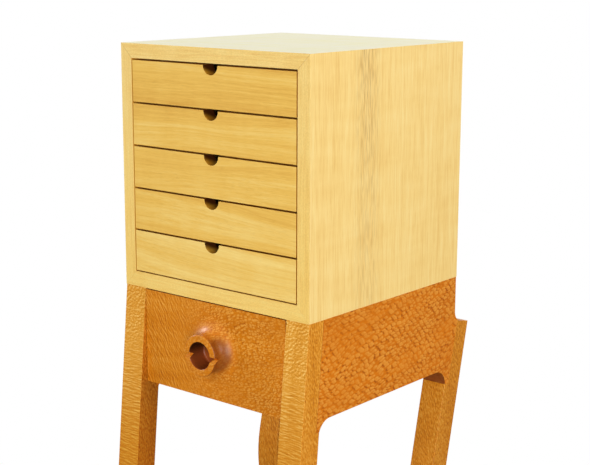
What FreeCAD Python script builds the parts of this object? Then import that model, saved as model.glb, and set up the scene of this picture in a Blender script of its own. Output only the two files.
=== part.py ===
import FreeCAD, Part
import os
import re

import Sketcher

# Cabinet on stand: a mitred case of five drawers on a four-legged stand that holds one deeper drawer.
# Millimetres and degrees. +X is to the right, -Y is the front, +Z is up, and the floor is Z = 0.
# Pieces are placed from the front of the case (y, positive to the back) and its underside (z).

DRAWER_COUNT = 5
DRAWER_TAILS = 2
STAND_DRAWER_TAILS = 3

SIZES = {
    # case boards, mitred at the four corners
    "case_width": 400,
    "case_depth": 406,
    "case_height": 406,
    "case_wall": 24,
    "case_floor": 26,
    # back panel in a rebate, and its screws
    "back_thickness": 10,
    "back_rebate": 10,
    "back_screw_spread": 115,
    "screw_shank": 2,
    "screw_head": 4,
    "screw_head_depth": 3,
    "back_screw_length": 20,
    # loose tongues in the mitres
    "tongue_thickness": 4,
    "tongue_width": 16,
    "tongue_inset": 30,
    # case drawers
    "drawer_gap": 2,
    "drawer_top_gap": 3,
    "drawer_back_gap": 24,
    "front_thickness": 24,
    "side_thickness": 12,
    "drawer_back_thickness": 10,
    "bottom_thickness": 5,
    "bottom_groove": 5,
    "bottom_raise": 6,
    "front_lap": 5,
    "side_top_clearance": 3,
    "side_bottom_clearance": 1,
    "tail_half_width": 9,
    "tail_flare": 2.5,
    "notch_radius": 15.5,
    # runners let into the case sides, in grooves of the drawer sides
    "runner_height": 10,
    "runner_housing": 4,
    "runner_play": 0.3,
    "runner_end_gap": 2,
    "groove_depth": 6,
    "groove_stop": 14,
    # stand
    "stand_height": 720,
    "leg_width": 46,
    "leg_neck": 35,
    "front_leg_depth": 42,
    "front_leg_set_back": 1,
    "front_leg_rake": 5.35,
    "rear_leg_depth": 45,
    "rear_leg_lean": 12.6,
    "rear_leg_drop": 80,
    "knee_drop": 402,
    "knee_radius": 240,
    # side aprons, with horns that run into the legs
    "apron_height": 161,
    "apron_inset": 1.5,
    "horn_radius": 28,
    "front_horn_turn": 68,
    "cove_radius": 10,
    "tenon_thickness": 14,
    "tenon_length": 14,
    "tenon_shoulder": 20,
    "tenon_root": 30,
    # rails, bearers and kickers inside the stand
    "rail_height": 20,
    "rail_width": 40,
    "rail_raise": 3,
    "rail_tenon_length": 20,
    "rail_tenon_thickness": 10,
    "rail_tenon_width": 20,
    "back_rail_thickness": 20,
    "back_rail_inset": 10,
    "bearer_width": 22,
    # dowels that locate the case on the stand
    "dowel_radius": 5,
    "dowel_inset": 11,
    "dowel_end_distance": 100,
    "dowel_in_case": 16,
    "dowel_in_apron": 20,
    # stand drawer
    "stand_drawer_gap": 2,
    "stand_drawer_top_gap": 2.5,
    "stand_drawer_back_gap": 12,
    "stand_front_thickness": 22,
    "stand_front_drop": 1.5,
    "stand_drawer_play": 0.3,
    "stand_drawer_kick_gap": 2,
    # turned pull, hollow, with a notch across its rim and a spigot in the drawer front
    "pull_reach": 32,
    "pull_rim_radius": 34,
    "pull_hole_radius": 22.5,
    "pull_hole_depth": 34,
    "pull_waist_radius": 31.5,
    "pull_waist": 20,
    "pull_base_radius": 45,
    "pull_lip": 0.8,
    "pull_edge_chamfer": 1,
    "pull_spigot_radius": 27,
    "pull_spigot_length": 14,
    "pull_notch_depth": 11,
    "pull_notch_rise": 3,
    "pull_notch_fall": 7.5,
    "pull_notch_tip": 2.5,
    "pull_screw_shank": 2.5,
    "pull_screw_head": 5,
    "pull_screw_bite": 8,
}

# Places that several pieces share, worked out from the sizes in this order.
PLACES = {
    "half_case": "case_width / 2",
    "half_opening": "half_case - case_wall",
    "opening_top": "case_height - case_wall",
    "drawer_pitch": f"(opening_top - case_floor - drawer_top_gap) / {DRAWER_COUNT}",
    "drawer_half": "half_opening - drawer_gap",
    "drawer_length": "case_depth - back_thickness - drawer_back_gap",
    "inner_face": "half_case - leg_width",
    # rear leg: its top end is square to the upper arm, and its edges meet at the knee
    "lean_tan": "tan(rear_leg_lean)",
    "apron_end": "case_depth - apron_inset",
    "rear_top_front": "apron_end + cove_radius * (1 - sin(rear_leg_lean))",
    "rear_top_back": "rear_top_front + leg_neck * cos(rear_leg_lean)",
    "rear_back_drop": "rear_leg_drop + leg_neck * sin(rear_leg_lean)",
    "knee_back": "rear_top_back - (knee_drop - rear_back_drop) * lean_tan",
    "knee_front": "knee_back - rear_leg_depth / cos(rear_leg_lean)",
    "knee_back_radius": "knee_radius - rear_leg_depth",
    "heel": "knee_back + (stand_height - knee_drop) * lean_tan",
    "rear_tip_drop": "apron_height + horn_radius",
    "rear_tip": "knee_front + (knee_drop - rear_tip_drop) * lean_tan",
    "rear_shoulder": "rear_top_front - (rear_tip_drop - rear_leg_drop) * lean_tan",
    # front leg: straight, raked forward
    "rake_tan": "tan(front_leg_rake)",
    "toe": "front_leg_set_back - stand_height * rake_tan",
    "front_tip_drop": "apron_height + horn_radius * (1 - cos(front_horn_turn))",
    "front_tip": "front_leg_set_back + front_leg_depth - front_tip_drop * rake_tan",
    "front_shoulder": "front_leg_set_back + leg_neck - front_tip_drop * rake_tan",
    # apron tenons end inside the legs
    "tenon_low": "apron_height - tenon_shoulder",
    "tenon_middle": "half_case - leg_width / 2",
    "front_tenon_end": "front_leg_set_back + leg_neck - tenon_low * rake_tan - tenon_length",
    "rear_tenon_top": "rear_leg_drop + tenon_shoulder",
    "rear_tenon_end": "rear_top_front - tenon_shoulder * lean_tan + tenon_length",
    # rails behind the stand drawer's front, and the back rail
    "rail_front": "stand_front_thickness + stand_drawer_play",
    "rail_back": "rail_front + rail_width",
    "low_rail_bottom": "rail_raise - apron_height",
    "low_rail_top": "low_rail_bottom + rail_height",
    "back_rail_back": "apron_end - back_rail_inset",
    "back_rail_front": "back_rail_back - back_rail_thickness",
    "stand_drawer_half": "inner_face - stand_drawer_gap",
    "stand_drawer_length": "back_rail_front - stand_drawer_back_gap",
    "pull_height": "-(apron_height + stand_front_drop) / 2",
    "pull_floor": "pull_hole_depth - pull_reach",
    "pull_cove": "((pull_base_radius - pull_waist_radius)^2 + (pull_waist - pull_lip)^2)"
                 " / (2 * (pull_base_radius - pull_waist_radius))",
    # the frame's origin is under the middle of the footprint
    "front_y": "-(toe + max(heel; rear_top_back)) / 2",
}

doc = FreeCAD.newDocument("CabinetOnStand")
sheet = doc.addObject("Spreadsheet::Sheet", "Sizes")
for row, (alias, size) in enumerate(SIZES.items(), start=1):
    sheet.set(f"A{row}", alias)
    sheet.set(f"B{row}", str(size))
    sheet.setAlias(f"B{row}", alias)
doc.recompute()

places = doc.addObject("App::VarSet", "Places")
nodes = []


def formula(text):
    """Point each size and place named in a formula at the sheet or at the shared places."""
    def link(match):
        word = match.group(0)
        if word in SIZES:
            return "Sizes." + word
        return "Places." + word if word in PLACES else word
    return re.sub(r"[a-z_]+", link, text)


def value(text):
    """Present value of a formula."""
    return float(sheet.evalExpression(formula(text)))


def bind(item, **properties):
    """Bind properties of an object to formulas."""
    for name, text in properties.items():
        item.setExpression(name, formula(text))
    return item


def place(item, x="0", y="0", z="0"):
    """Put an object at a place given from the case's front and underside."""
    item.setExpression("Placement.Base.x", formula(x))
    item.setExpression("Placement.Base.y", formula(f"front_y + ({y})"))
    item.setExpression("Placement.Base.z", formula(f"stand_height + ({z})"))
    return item


def node(item, label):
    """Hand an object in as one sub-part."""
    item.Label = label
    nodes.append(item)
    return item


def box(name, x, y, z):
    """Box from three (low, high) pairs."""
    item = doc.addObject("Part::Box", name)
    bind(item, Length=f"({x[1]}) - ({x[0]})", Width=f"({y[1]}) - ({y[0]})", Height=f"({z[1]}) - ({z[0]})")
    return place(item, x[0], y[0], z[0])


def round_bar(name, radius, length, x, y, z, along_y=False):
    """Cylinder that starts at a place and runs up, or to the back."""
    item = doc.addObject("Part::Cylinder", name)
    if along_y:
        item.Placement.Rotation = FreeCAD.Rotation(FreeCAD.Vector(1, 0, 0), -90)
    bind(item, Radius=radius, Height=length)
    return place(item, x, y, z)


def fuse(name, *items):
    """One object from several that overlap."""
    item = doc.addObject("Part::MultiFuse", name)
    item.Shapes = list(items)
    item.Refine = True
    return item


def group(name, items):
    """Several separate solids as one object."""
    item = doc.addObject("Part::Compound", name)
    item.Links = list(items)
    return item


def cut(name, base, *tools):
    """A base with one tool after another taken out of it."""
    for index, tool in enumerate(tools, start=1):
        item = doc.addObject("Part::Cut", name if index == len(tools) else f"{name}_step{index}")
        item.Base = base
        item.Tool = tool
        item.Refine = True
        base = item
    return base


def arc_between(start, end, radius):
    """Arc of under a half circle. A positive radius has its centre to the left of the way from start to end."""
    chord = end - start
    rise = max(radius * radius - chord.Length ** 2 / 4, 0) ** 0.5
    left = FreeCAD.Vector(-chord.y, chord.x, 0).normalize()
    centre = (start + end) / 2 + left * (rise if radius > 0 else -rise)
    first, last = (start, end) if radius > 0 else (end, start)
    circle = Part.Circle(centre, FreeCAD.Vector(0, 0, 1), abs(radius))
    return Part.ArcOfCircle(circle, circle.parameter(first), circle.parameter(last))


def sketch_on(body, name, plane, path):
    """Closed outline on one of a body's own planes.

    Each corner of path is (across, up). A third entry is the radius of the arc that leads to that corner
    from the one before, negative where its centre is to the right.
    """
    sketch = body.newObject("Sketcher::SketchObject", name)
    support = next(item for item in body.Origin.OriginFeatures if item.Role == plane)
    sketch.AttachmentSupport = [(support, "")]
    sketch.MapMode = "FlatFace"
    count = len(path)
    corners = [FreeCAD.Vector(value(corner[0]), value(corner[1]), 0) for corner in path]
    curves = []
    ends = []
    for index in range(count):
        start, end = corners[index], corners[(index + 1) % count]
        target = path[(index + 1) % count]
        if len(target) == 2:
            curves.append(Part.LineSegment(start, end))
            ends.append((1, 2))
        else:
            radius = value(target[2])
            curves.append(arc_between(start, end, radius))
            ends.append((1, 2) if radius > 0 else (2, 1))
    sketch.addGeometry(curves, False)
    limits = []
    formulas = []
    for index in range(count):
        before = (index - 1) % count
        first = ends[index][0]
        limits.append(Sketcher.Constraint("Coincident", before, ends[before][1], index, first))
        formulas.append(None)
        limits.append(Sketcher.Constraint("DistanceX", -1, 1, index, first, corners[index].x))
        formulas.append(path[index][0])
        limits.append(Sketcher.Constraint("DistanceY", -1, 1, index, first, corners[index].y))
        formulas.append(path[index][1])
        target = path[(index + 1) % count]
        if len(target) == 3:
            limits.append(Sketcher.Constraint("Radius", index, abs(value(target[2]))))
            formulas.append(f"abs({target[2]})")
    sketch.addConstraint(limits)
    for index, text in enumerate(formulas):
        if text is not None:
            sketch.setExpression(f"Constraints[{index}]", formula(text))
    return sketch


def board(name, plane, path, thickness, x="0", y="0", z="0"):
    """Board of one outline, sawn out of stock of a thickness that runs to +X, +Y or +Z."""
    body = doc.addObject("PartDesign::Body", name)
    pad = body.newObject("PartDesign::Pad", name + "_pad")
    pad.Profile = sketch_on(body, name + "_outline", plane, path)
    pad.Reversed = plane == "XZ_Plane"
    bind(pad, Length=thickness)
    body.Tip = pad
    return place(body, x, y, z)


def screw(name, shank, head, length, x, y, z):
    """Countersunk screw that runs to the front from a head whose face is at y."""
    cone = doc.addObject("Part::Cone", name + "_head")
    cone.Placement.Rotation = FreeCAD.Rotation(FreeCAD.Vector(1, 0, 0), -90)
    bind(cone, Radius1=shank, Radius2=head, Height="screw_head_depth")
    place(cone, x, f"{y} - screw_head_depth", z)
    bar = round_bar(name + "_shank", shank, f"{length} - screw_head_depth", x, f"{y} - ({length})", z, True)
    return fuse(name, cone, bar)


def mitre_tongue(name, side, outer, thickness, inward):
    """Tongue square across one mitre, between a side board and a board that lies flat."""
    slant = f"sqrt(case_wall^2 + {thickness}^2)"
    corners = []
    for along, across in ((1, 1), (1, -1), (-1, -1), (-1, 1)):
        long_way = f"{along} * tongue_width / (2 * {slant})"
        thick_way = f"{across} * tongue_thickness / (2 * {slant})"
        corners.append((
            f"{side} * (half_case - case_wall / 2 + {long_way} * {thickness} - {thick_way} * case_wall)",
            f"{outer} + {inward} * ({thickness} / 2 + {long_way} * case_wall + {thick_way} * {thickness})"))
    length = "case_depth - back_thickness - 2 * tongue_inset"
    return board(name, "XZ_Plane", corners, length, y="tongue_inset")


def make_case(runners, dowels):
    """Case boards, back panel, its screws and the tongues in the mitres."""
    tongues = [mitre_tongue(f"tongue_{edge}_{hand}", side, outer, thickness, inward)
               for edge, outer, thickness, inward in (("top", "case_height", "case_wall", -1),
                                                      ("bottom", "0", "case_floor", 1))
               for hand, side in (("left", -1), ("right", 1))]
    mitre_tongues = node(group("mitre_tongues", tongues), "mitre_tongues")

    spots = [(f"{side} * back_screw_spread", height) for side in (-1, 1)
             for height in ("opening_top + back_rebate / 2", "case_floor - back_rebate / 2")]
    screws = [screw(f"back_screw_{index}", "screw_shank", "screw_head", "back_screw_length", x, "case_depth", z)
              for index, (x, z) in enumerate(spots, start=1)]
    back_screws = node(group("back_screws", screws), "back_screws")

    reach = "half_opening + back_rebate"
    panel = box("back_panel", (f"-({reach})", reach), ("case_depth - back_thickness", "case_depth"),
                ("case_floor - back_rebate", "opening_top + back_rebate"))
    node(cut("back_panel_drilled", panel, back_screws), "case_back")

    top = [("-half_case", "case_height"), ("-half_opening", "opening_top"),
           ("half_opening", "opening_top"), ("half_case", "case_height")]
    bottom = [("-half_case", "0"), ("half_case", "0"),
              ("half_opening", "case_floor"), ("-half_opening", "case_floor")]
    shared = (panel, mitre_tongues, back_screws)
    for label, path, extra in (("case_top", top, ()), ("case_bottom", bottom, (dowels,))):
        blank = board(label + "_blank", "XZ_Plane", path, "case_depth")
        node(cut(label + "_jointed", blank, *shared, *extra), label)
    for hand, side in (("left", -1), ("right", 1)):
        path = [(f"{side} * half_case", "0"), (f"{side} * half_case", "case_height"),
                (f"{side} * half_opening", "opening_top"), (f"{side} * half_opening", "case_floor")]
        blank = board(f"case_side_{hand}_blank", "XZ_Plane", path, "case_depth")
        node(cut(f"case_side_{hand}_jointed", blank, *shared, runners[hand]), f"case_side_{hand}")


def drawer_side_path(front, length, height, tails):
    """Outline of a drawer side, with tails lapped by the front and tails through the back."""
    middles = [f"({height}) * {2 * index + 1} / {2 * tails}" for index in range(tails)]
    wide = "(tail_half_width + tail_flare)"
    back = f"{length} - drawer_back_thickness"
    path = [(front, "0")]
    for middle in middles:
        path += [(front, f"{middle} - tail_half_width"), ("front_lap", f"{middle} - {wide}"),
                 ("front_lap", f"{middle} + {wide}"), (front, f"{middle} + tail_half_width")]
    path += [(front, height), (back, height)]
    for middle in reversed(middles):
        path += [(back, f"{middle} + tail_half_width"), (length, f"{middle} + {wide}"),
                 (length, f"{middle} - {wide}"), (back, f"{middle} - tail_half_width")]
    return path + [(back, "0")]


def make_drawer(name, half, front, length, front_span, side_span, tails, grooves, front_tools):
    """Front, sides, back and bottom of one drawer, dovetailed, with the bottom in grooves."""
    low, high = side_span
    path = drawer_side_path(front, length, f"({high}) - ({low})", tails)
    inner = f"{half} - side_thickness"
    blanks = {hand: board(f"{name}_side_{hand}_blank", "YZ_Plane", path, "side_thickness", x=x, z=low)
              for hand, x in (("left", f"-({half})"), ("right", inner))}
    width = f"{inner} + bottom_groove"
    bottom = box(f"{name}_panel", (f"-({width})", width),
                 (f"{front} - bottom_groove", f"{length} - drawer_back_thickness + bottom_groove"),
                 (f"{low} + bottom_raise", f"{low} + bottom_raise + bottom_thickness"))
    blank = box(f"{name}_front_blank", (f"-({half})", half), ("0", front), front_span)
    node(cut(f"{name}_front_jointed", blank, *blanks.values(), bottom, *front_tools), f"{name}_front")
    for hand, blank in blanks.items():
        tools = [bottom] + ([grooves[hand]] if grooves else [])
        node(cut(f"{name}_side_{hand}_jointed", blank, *tools), f"{name}_side_{hand}")
    blank = box(f"{name}_back_blank", (f"-({half})", half), (f"{length} - drawer_back_thickness", length), side_span)
    node(cut(f"{name}_back_jointed", blank, *blanks.values(), bottom, *grooves.values()), f"{name}_back")
    node(bottom, f"{name}_bottom")


def make_case_drawers():
    """Five equal drawers, counted from the top, and the runners that carry them."""
    runners = {"left": [], "right": []}
    for index in range(DRAWER_COUNT):
        name = f"drawer_{index + 1}"
        high = f"opening_top - drawer_top_gap - {index} * drawer_pitch"
        low = f"{high} - drawer_pitch + drawer_top_gap"
        side_span = (f"{low} + side_bottom_clearance", f"{high} - side_top_clearance")
        middle = f"({side_span[0]} + {side_span[1]}) / 2"
        stop = "front_thickness + groove_stop"
        grooves = {}
        for hand, side in (("left", -1), ("right", 1)):
            # the groove's floor and the runner's face, each from the middle of the case
            floor = f"{side} * (drawer_half - groove_depth)"
            face = f"{side} * (drawer_half - groove_depth + runner_play)"
            wall = f"{side} * half_opening"
            root = f"{side} * (half_opening + runner_housing)"
            groove_across = (wall, floor) if side < 0 else (floor, wall)
            runner_across = (root, face) if side < 0 else (face, root)
            grooves[hand] = box(f"{name}_groove_{hand}", groove_across, (stop, "drawer_length"),
                                (f"{middle} - runner_height / 2 - runner_play",
                                 f"{middle} + runner_height / 2 + runner_play"))
            runners[hand].append(box(
                f"{name}_runner_{hand}", runner_across,
                (f"{stop} + runner_play", "case_depth - back_screw_length - runner_end_gap"),
                (f"{middle} - runner_height / 2", f"{middle} + runner_height / 2")))
        notch = round_bar(f"{name}_notch", "notch_radius", "front_thickness", "0", "0", high, True)
        make_drawer(name, "drawer_half", "front_thickness", "drawer_length", (low, high), side_span,
                    DRAWER_TAILS, grooves, [notch])
    return {hand: node(group(f"runner_group_{hand}", items), f"runners_{hand}") for hand, items in runners.items()}


def front_leg_path():
    """Side outline of a front leg, with the neck that the apron is glued to."""
    return [("front_leg_set_back", "0"), ("toe", "-stand_height"),
            ("toe + front_leg_depth", "-stand_height"), ("front_tip", "-front_tip_drop"),
            ("front_shoulder", "-front_tip_drop"), ("front_leg_set_back + leg_neck", "0")]


def rear_leg_path():
    """Side outline of a rear leg: two straight arms joined by an arc at the knee."""
    bend = "sin(rear_leg_lean)"
    front = f"knee_front + knee_radius * lean_tan * {bend}"
    back = f"knee_back + knee_back_radius * lean_tan * {bend}"
    rise = f"knee_radius * {bend}"
    back_rise = f"knee_back_radius * {bend}"
    return [("rear_top_front", "-rear_leg_drop"),
            ("rear_shoulder", "-rear_tip_drop"), ("rear_tip", "-rear_tip_drop"),
            (front, f"{rise} - knee_drop"), (front, f"-{rise} - knee_drop", "knee_radius"),
            ("heel - rear_leg_depth / cos(rear_leg_lean)", "-stand_height"), ("heel", "-stand_height"),
            (back, f"-{back_rise} - knee_drop"), (back, f"{back_rise} - knee_drop", "-knee_back_radius"),
            ("rear_top_back", "-rear_back_drop")]


def apron_path():
    """Side outline of an apron, with a horn into each leg and a cove above the rear leg."""
    return [("front_leg_set_back + leg_neck", "0"),
            ("front_shoulder", "-front_tip_drop"), ("front_tip", "-front_tip_drop"),
            ("front_tip + horn_radius * sin(front_horn_turn)", "-apron_height", "-horn_radius"),
            ("rear_tip - horn_radius", "-apron_height"), ("rear_tip", "-rear_tip_drop", "-horn_radius"),
            ("rear_shoulder", "-rear_tip_drop"), ("rear_top_front", "-rear_leg_drop"),
            ("apron_end", "cove_radius * cos(rear_leg_lean) - rear_leg_drop", "-cove_radius"),
            ("apron_end", "0")]


def make_rail(name, label, y, z, tenon_y, tenon_z):
    """Rail between the aprons, with a tenon at each end. Returns the bar that both tenons belong to."""
    reach = "inner_face + rail_tenon_length"
    core = box(f"{name}_tenons", (f"-({reach})", reach), tenon_y, tenon_z)
    bar = box(f"{name}_bar", ("-inner_face", "inner_face"), y, z)
    node(fuse(f"{name}_jointed", bar, core), label)
    return core


def make_stand():
    """Legs, aprons, rails, bearers, kickers and dowels. Returns the dowels."""
    rail_y = ("rail_front", "rail_back")
    tenon_y = ("rail_back - rail_tenon_width", "rail_back")
    spare = "(rail_height - rail_tenon_thickness) / 2"
    back_spare = "(back_rail_thickness - rail_tenon_thickness) / 2"
    cores = [
        make_rail("top_rail", "front_rail_top", rail_y, ("-rail_height", "0"),
                  tenon_y, (f"{spare} - rail_height", f"-{spare}")),
        make_rail("low_rail", "front_rail_bottom", rail_y, ("low_rail_bottom", "low_rail_top"),
                  tenon_y, (f"low_rail_bottom + {spare}", f"low_rail_top - {spare}")),
        make_rail("back_rail", "stand_back_rail", ("back_rail_front", "back_rail_back"), ("-apron_height", "0"),
                  (f"back_rail_front + {back_spare}", f"back_rail_back - {back_spare}"),
                  ("-tenon_low", "-tenon_shoulder"))]
    dowels = [round_bar(f"dowel_{hand}_{row}", "dowel_radius", "dowel_in_case + dowel_in_apron",
                        f"{side} * (inner_face + dowel_inset)", y, "-dowel_in_apron")
              for hand, side in (("left", -1), ("right", 1))
              for row, y in (("front", "dowel_end_distance"), ("rear", "case_depth - dowel_end_distance"))]
    dowel_group = node(group("dowel_group", dowels), "locating_dowels")

    for hand, side, x in (("left", -1, "-half_case"), ("right", 1, "inner_face")):
        tenon_x = (f"{side} * tenon_middle - tenon_thickness / 2", f"{side} * tenon_middle + tenon_thickness / 2")
        front_tenon = box(f"front_tenon_{hand}", tenon_x,
                          ("front_tenon_end", "front_tenon_end + tenon_length + tenon_root"),
                          ("-tenon_low", "-tenon_shoulder"))
        rear_tenon = box(f"rear_tenon_{hand}", tenon_x,
                         ("rear_tenon_end - tenon_length - tenon_root", "rear_tenon_end"),
                         ("-tenon_low", "-rear_tenon_top"))
        front_leg = board(f"leg_front_{hand}_blank", "YZ_Plane", front_leg_path(), "leg_width", x=x)
        rear_leg = board(f"leg_rear_{hand}_blank", "YZ_Plane", rear_leg_path(), "leg_width", x=x)
        node(cut(f"leg_front_{hand}_jointed", front_leg, front_tenon, *cores), f"leg_front_{hand}")
        node(cut(f"leg_rear_{hand}_jointed", rear_leg, rear_tenon), f"leg_rear_{hand}")
        apron = board(f"apron_{hand}_blank", "YZ_Plane", apron_path(), "leg_width", x=x)
        tenoned = fuse(f"apron_{hand}_tenoned", apron, front_tenon, rear_tenon)
        node(cut(f"apron_{hand}_jointed", tenoned, *cores, dowel_group), f"apron_{hand}")
        inside = f"{side} * (inner_face - bearer_width)"
        outside = f"{side} * inner_face"
        across = (outside, inside) if side < 0 else (inside, outside)
        along = ("rail_back", "back_rail_front")
        node(box(f"bearer_bar_{hand}", across, along, ("low_rail_bottom", "low_rail_top")), f"bearer_{hand}")
        node(box(f"kicker_bar_{hand}", across, along, ("-rail_height", "0")), f"kicker_{hand}")
    return dowel_group


def make_pull():
    """Turned pull: a deep ring that flares to a thin lip on the drawer front, notched across its rim."""
    body = doc.addObject("PartDesign::Body", "pull_turned")
    path = [("0", "pull_spigot_length"), ("0", "pull_floor"),
            ("pull_hole_radius", "pull_floor"),
            ("pull_hole_radius", "pull_edge_chamfer - pull_reach"),
            ("pull_hole_radius + pull_edge_chamfer", "-pull_reach"),
            ("pull_rim_radius - pull_edge_chamfer", "-pull_reach"),
            ("pull_rim_radius", "pull_edge_chamfer - pull_reach"),
            ("pull_waist_radius", "-pull_waist"),
            ("pull_base_radius", "-pull_lip", "-pull_cove"),
            ("pull_base_radius", "0"), ("pull_spigot_radius", "0"),
            ("pull_spigot_radius", "pull_spigot_length")]
    turning = body.newObject("PartDesign::Revolution", "pull_turning")
    turning.Profile = sketch_on(body, "pull_outline", "XY_Plane", path)
    turning.ReferenceAxis = (turning.Profile[0], ["V_Axis"])
    turning.Angle = 360
    doc.recompute()
    mouth = "-pull_reach - pull_edge_chamfer"
    steep = "(pull_notch_depth + pull_edge_chamfer) / pull_notch_depth"
    notch = [(mouth, f"(pull_notch_rise + pull_notch_tip) * {steep} - pull_notch_tip"),
             (mouth, f"(pull_notch_tip - pull_notch_fall) * {steep} - pull_notch_tip"),
             ("pull_notch_depth - pull_reach", "-pull_notch_tip")]
    sawing = body.newObject("PartDesign::Pocket", "pull_notch")
    sawing.Profile = sketch_on(body, "pull_notch_outline", "YZ_Plane", notch)
    sawing.Type = "ThroughAll"
    sawing.SideType = "Symmetric"
    body.Tip = sawing
    return place(body, z="pull_height")


def make_stand_drawer():
    """Deep drawer of the stand, with its pull and the screw that holds it."""
    length = "stand_front_thickness - pull_spigot_length + pull_screw_bite"
    pull_screw = screw("pull_screw_bar", "pull_screw_shank", "pull_screw_head", length,
                       "0", "stand_front_thickness", "pull_height")
    socket = round_bar("pull_socket", "pull_spigot_radius", "pull_spigot_length", "0", "0", "pull_height", True)
    front_span = ("-apron_height - stand_front_drop", "-stand_drawer_top_gap")
    side_span = ("low_rail_top + stand_drawer_play", "-rail_height - stand_drawer_kick_gap")
    make_drawer("stand_drawer", "stand_drawer_half", "stand_front_thickness", "stand_drawer_length",
                front_span, side_span, STAND_DRAWER_TAILS, {}, [socket, pull_screw])
    node(cut("pull_drilled", make_pull(), pull_screw), "pull")
    node(pull_screw, "pull_screw")


def check():
    """Stop if any object failed or any sub-part is not made of sound solids."""
    for item in doc.Objects:
        if {"Invalid", "Error"} & set(item.State):
            raise RuntimeError(f"{item.Name} failed: {item.State}")
    for item in nodes:
        shape = item.Shape
        if shape.isNull() or not shape.isValid() or not shape.Solids or shape.Volume <= 0:
            raise RuntimeError(f"{item.Label} has no sound solid")


for place_name, place_formula in PLACES.items():
    places.addProperty("App::PropertyFloat", place_name)
    places.setExpression(place_name, formula(place_formula))
doc.recompute()

case_runners = make_case_drawers()
stand_dowels = make_stand()
make_case(case_runners, stand_dowels)
make_stand_drawer()
doc.recompute()
check()

os.makedirs("parts", exist_ok=True)
for item in nodes:
    item.Shape.exportStep(os.path.join("parts", item.Label + ".step"))
print(f"{len(nodes)} sub-parts written")
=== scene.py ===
"""Cabinet on stand: a mitred case of drawers on a sculpted lacewood stand, dressed around its frame."""
import logging
import math
from dataclasses import dataclass, replace
from enum import Enum
from functools import lru_cache
from typing import Any, ClassVar, Mapping, Optional, Sequence, Union

import bmesh
import bpy
from mathutils import Matrix, Quaternion, Vector


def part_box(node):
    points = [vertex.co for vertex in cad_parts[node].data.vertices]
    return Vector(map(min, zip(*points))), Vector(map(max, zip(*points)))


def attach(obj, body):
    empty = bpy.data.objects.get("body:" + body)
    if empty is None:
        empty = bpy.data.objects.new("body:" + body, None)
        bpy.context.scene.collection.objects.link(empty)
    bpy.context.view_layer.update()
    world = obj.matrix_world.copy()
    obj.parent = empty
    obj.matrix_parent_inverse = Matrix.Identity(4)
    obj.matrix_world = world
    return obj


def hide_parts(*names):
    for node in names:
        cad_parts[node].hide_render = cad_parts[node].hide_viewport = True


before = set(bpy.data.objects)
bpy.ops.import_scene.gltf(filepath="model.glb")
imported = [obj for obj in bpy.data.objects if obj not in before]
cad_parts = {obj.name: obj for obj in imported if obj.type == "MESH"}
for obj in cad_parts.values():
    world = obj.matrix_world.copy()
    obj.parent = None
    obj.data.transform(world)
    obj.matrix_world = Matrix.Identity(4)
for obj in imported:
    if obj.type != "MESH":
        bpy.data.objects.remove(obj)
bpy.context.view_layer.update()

LOG = logging.getLogger("cabinet_on_stand")

RGB = tuple[float, float, float]
Triple = tuple[float, float, float]
Pair = tuple[float, float]
Input = Union["Value", bpy.types.NodeSocket, float, Sequence[float]]
Look = tuple[Input, "Value", float]

BLACK: RGB = (0.0, 0.0, 0.0)
WHITE: RGB = (1.0, 1.0, 1.0)
HANDS = ("left", "right")
BACKWARD = Vector((0, 1, 0))


def tone(red: int, green: int, blue: int) -> RGB:
    """Turn a colour as it looks on a screen into the light that it stands for.

    Args:
        red, green, blue: Screen values from 0 to 255.

    Returns:
        The linear colour.
    """
    def linear(level: float) -> float:
        """Undo the screen's curve for one channel."""
        return level / 12.92 if level <= 0.04045 else ((level + 0.055) / 1.055) ** 2.4

    return linear(red / 255), linear(green / 255), linear(blue / 255)


class Value:
    """A number that varies over a surface, with operators that add Math nodes."""

    def __init__(self, graph: "Graph", socket: bpy.types.NodeSocket) -> None:
        """Keep the graph that the number belongs to and the socket that gives it."""
        self.graph = graph
        self.socket = socket

    def maths(self, operation: str, first: Input, second: Input = 0.0) -> "Value":
        """Add a Math node by Blender's name of its operation."""
        node = self.graph.node("ShaderNodeMath", {"operation": operation}, {0: first, 1: second})
        return Value(self.graph, node.outputs[0])

    def __add__(self, other: Input) -> "Value":
        """Sum."""
        return self.maths("ADD", self, other)

    def __radd__(self, other: Input) -> "Value":
        """Sum with a plain number first."""
        return self.maths("ADD", other, self)

    def __sub__(self, other: Input) -> "Value":
        """Difference."""
        return self.maths("SUBTRACT", self, other)

    def __rsub__(self, other: Input) -> "Value":
        """Difference with a plain number first."""
        return self.maths("SUBTRACT", other, self)

    def __mul__(self, other: Input) -> "Value":
        """Product."""
        return self.maths("MULTIPLY", self, other)

    def __rmul__(self, other: Input) -> "Value":
        """Product with a plain number first."""
        return self.maths("MULTIPLY", other, self)

    def __abs__(self) -> "Value":
        """Size without sign."""
        return self.maths("ABSOLUTE", self)

    def at_most(self, other: Input) -> "Value":
        """The smaller of two numbers."""
        return self.maths("MINIMUM", self, other)

    def at_least(self, other: Input) -> "Value":
        """The larger of two numbers."""
        return self.maths("MAXIMUM", self, other)

    def step(self, low: Input, high: Input) -> "Value":
        """Rise smoothly from 0 at the low number to 1 at the high one."""
        node = self.graph.node("ShaderNodeMapRange", {"interpolation_type": "SMOOTHSTEP"},
                               {"Value": self, "From Min": low, "From Max": high})
        return Value(self.graph, node.outputs["Result"])


class Run(Enum):
    """How a board's grain lies: the axes along the grain, across the board and through it."""

    LYING = "XYZ"
    CROSSWISE = "XZY"
    UPRIGHT_SIDE = "ZYX"
    UPRIGHT_FACE = "ZXY"
    DEPTHWISE = "YZX"


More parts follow.
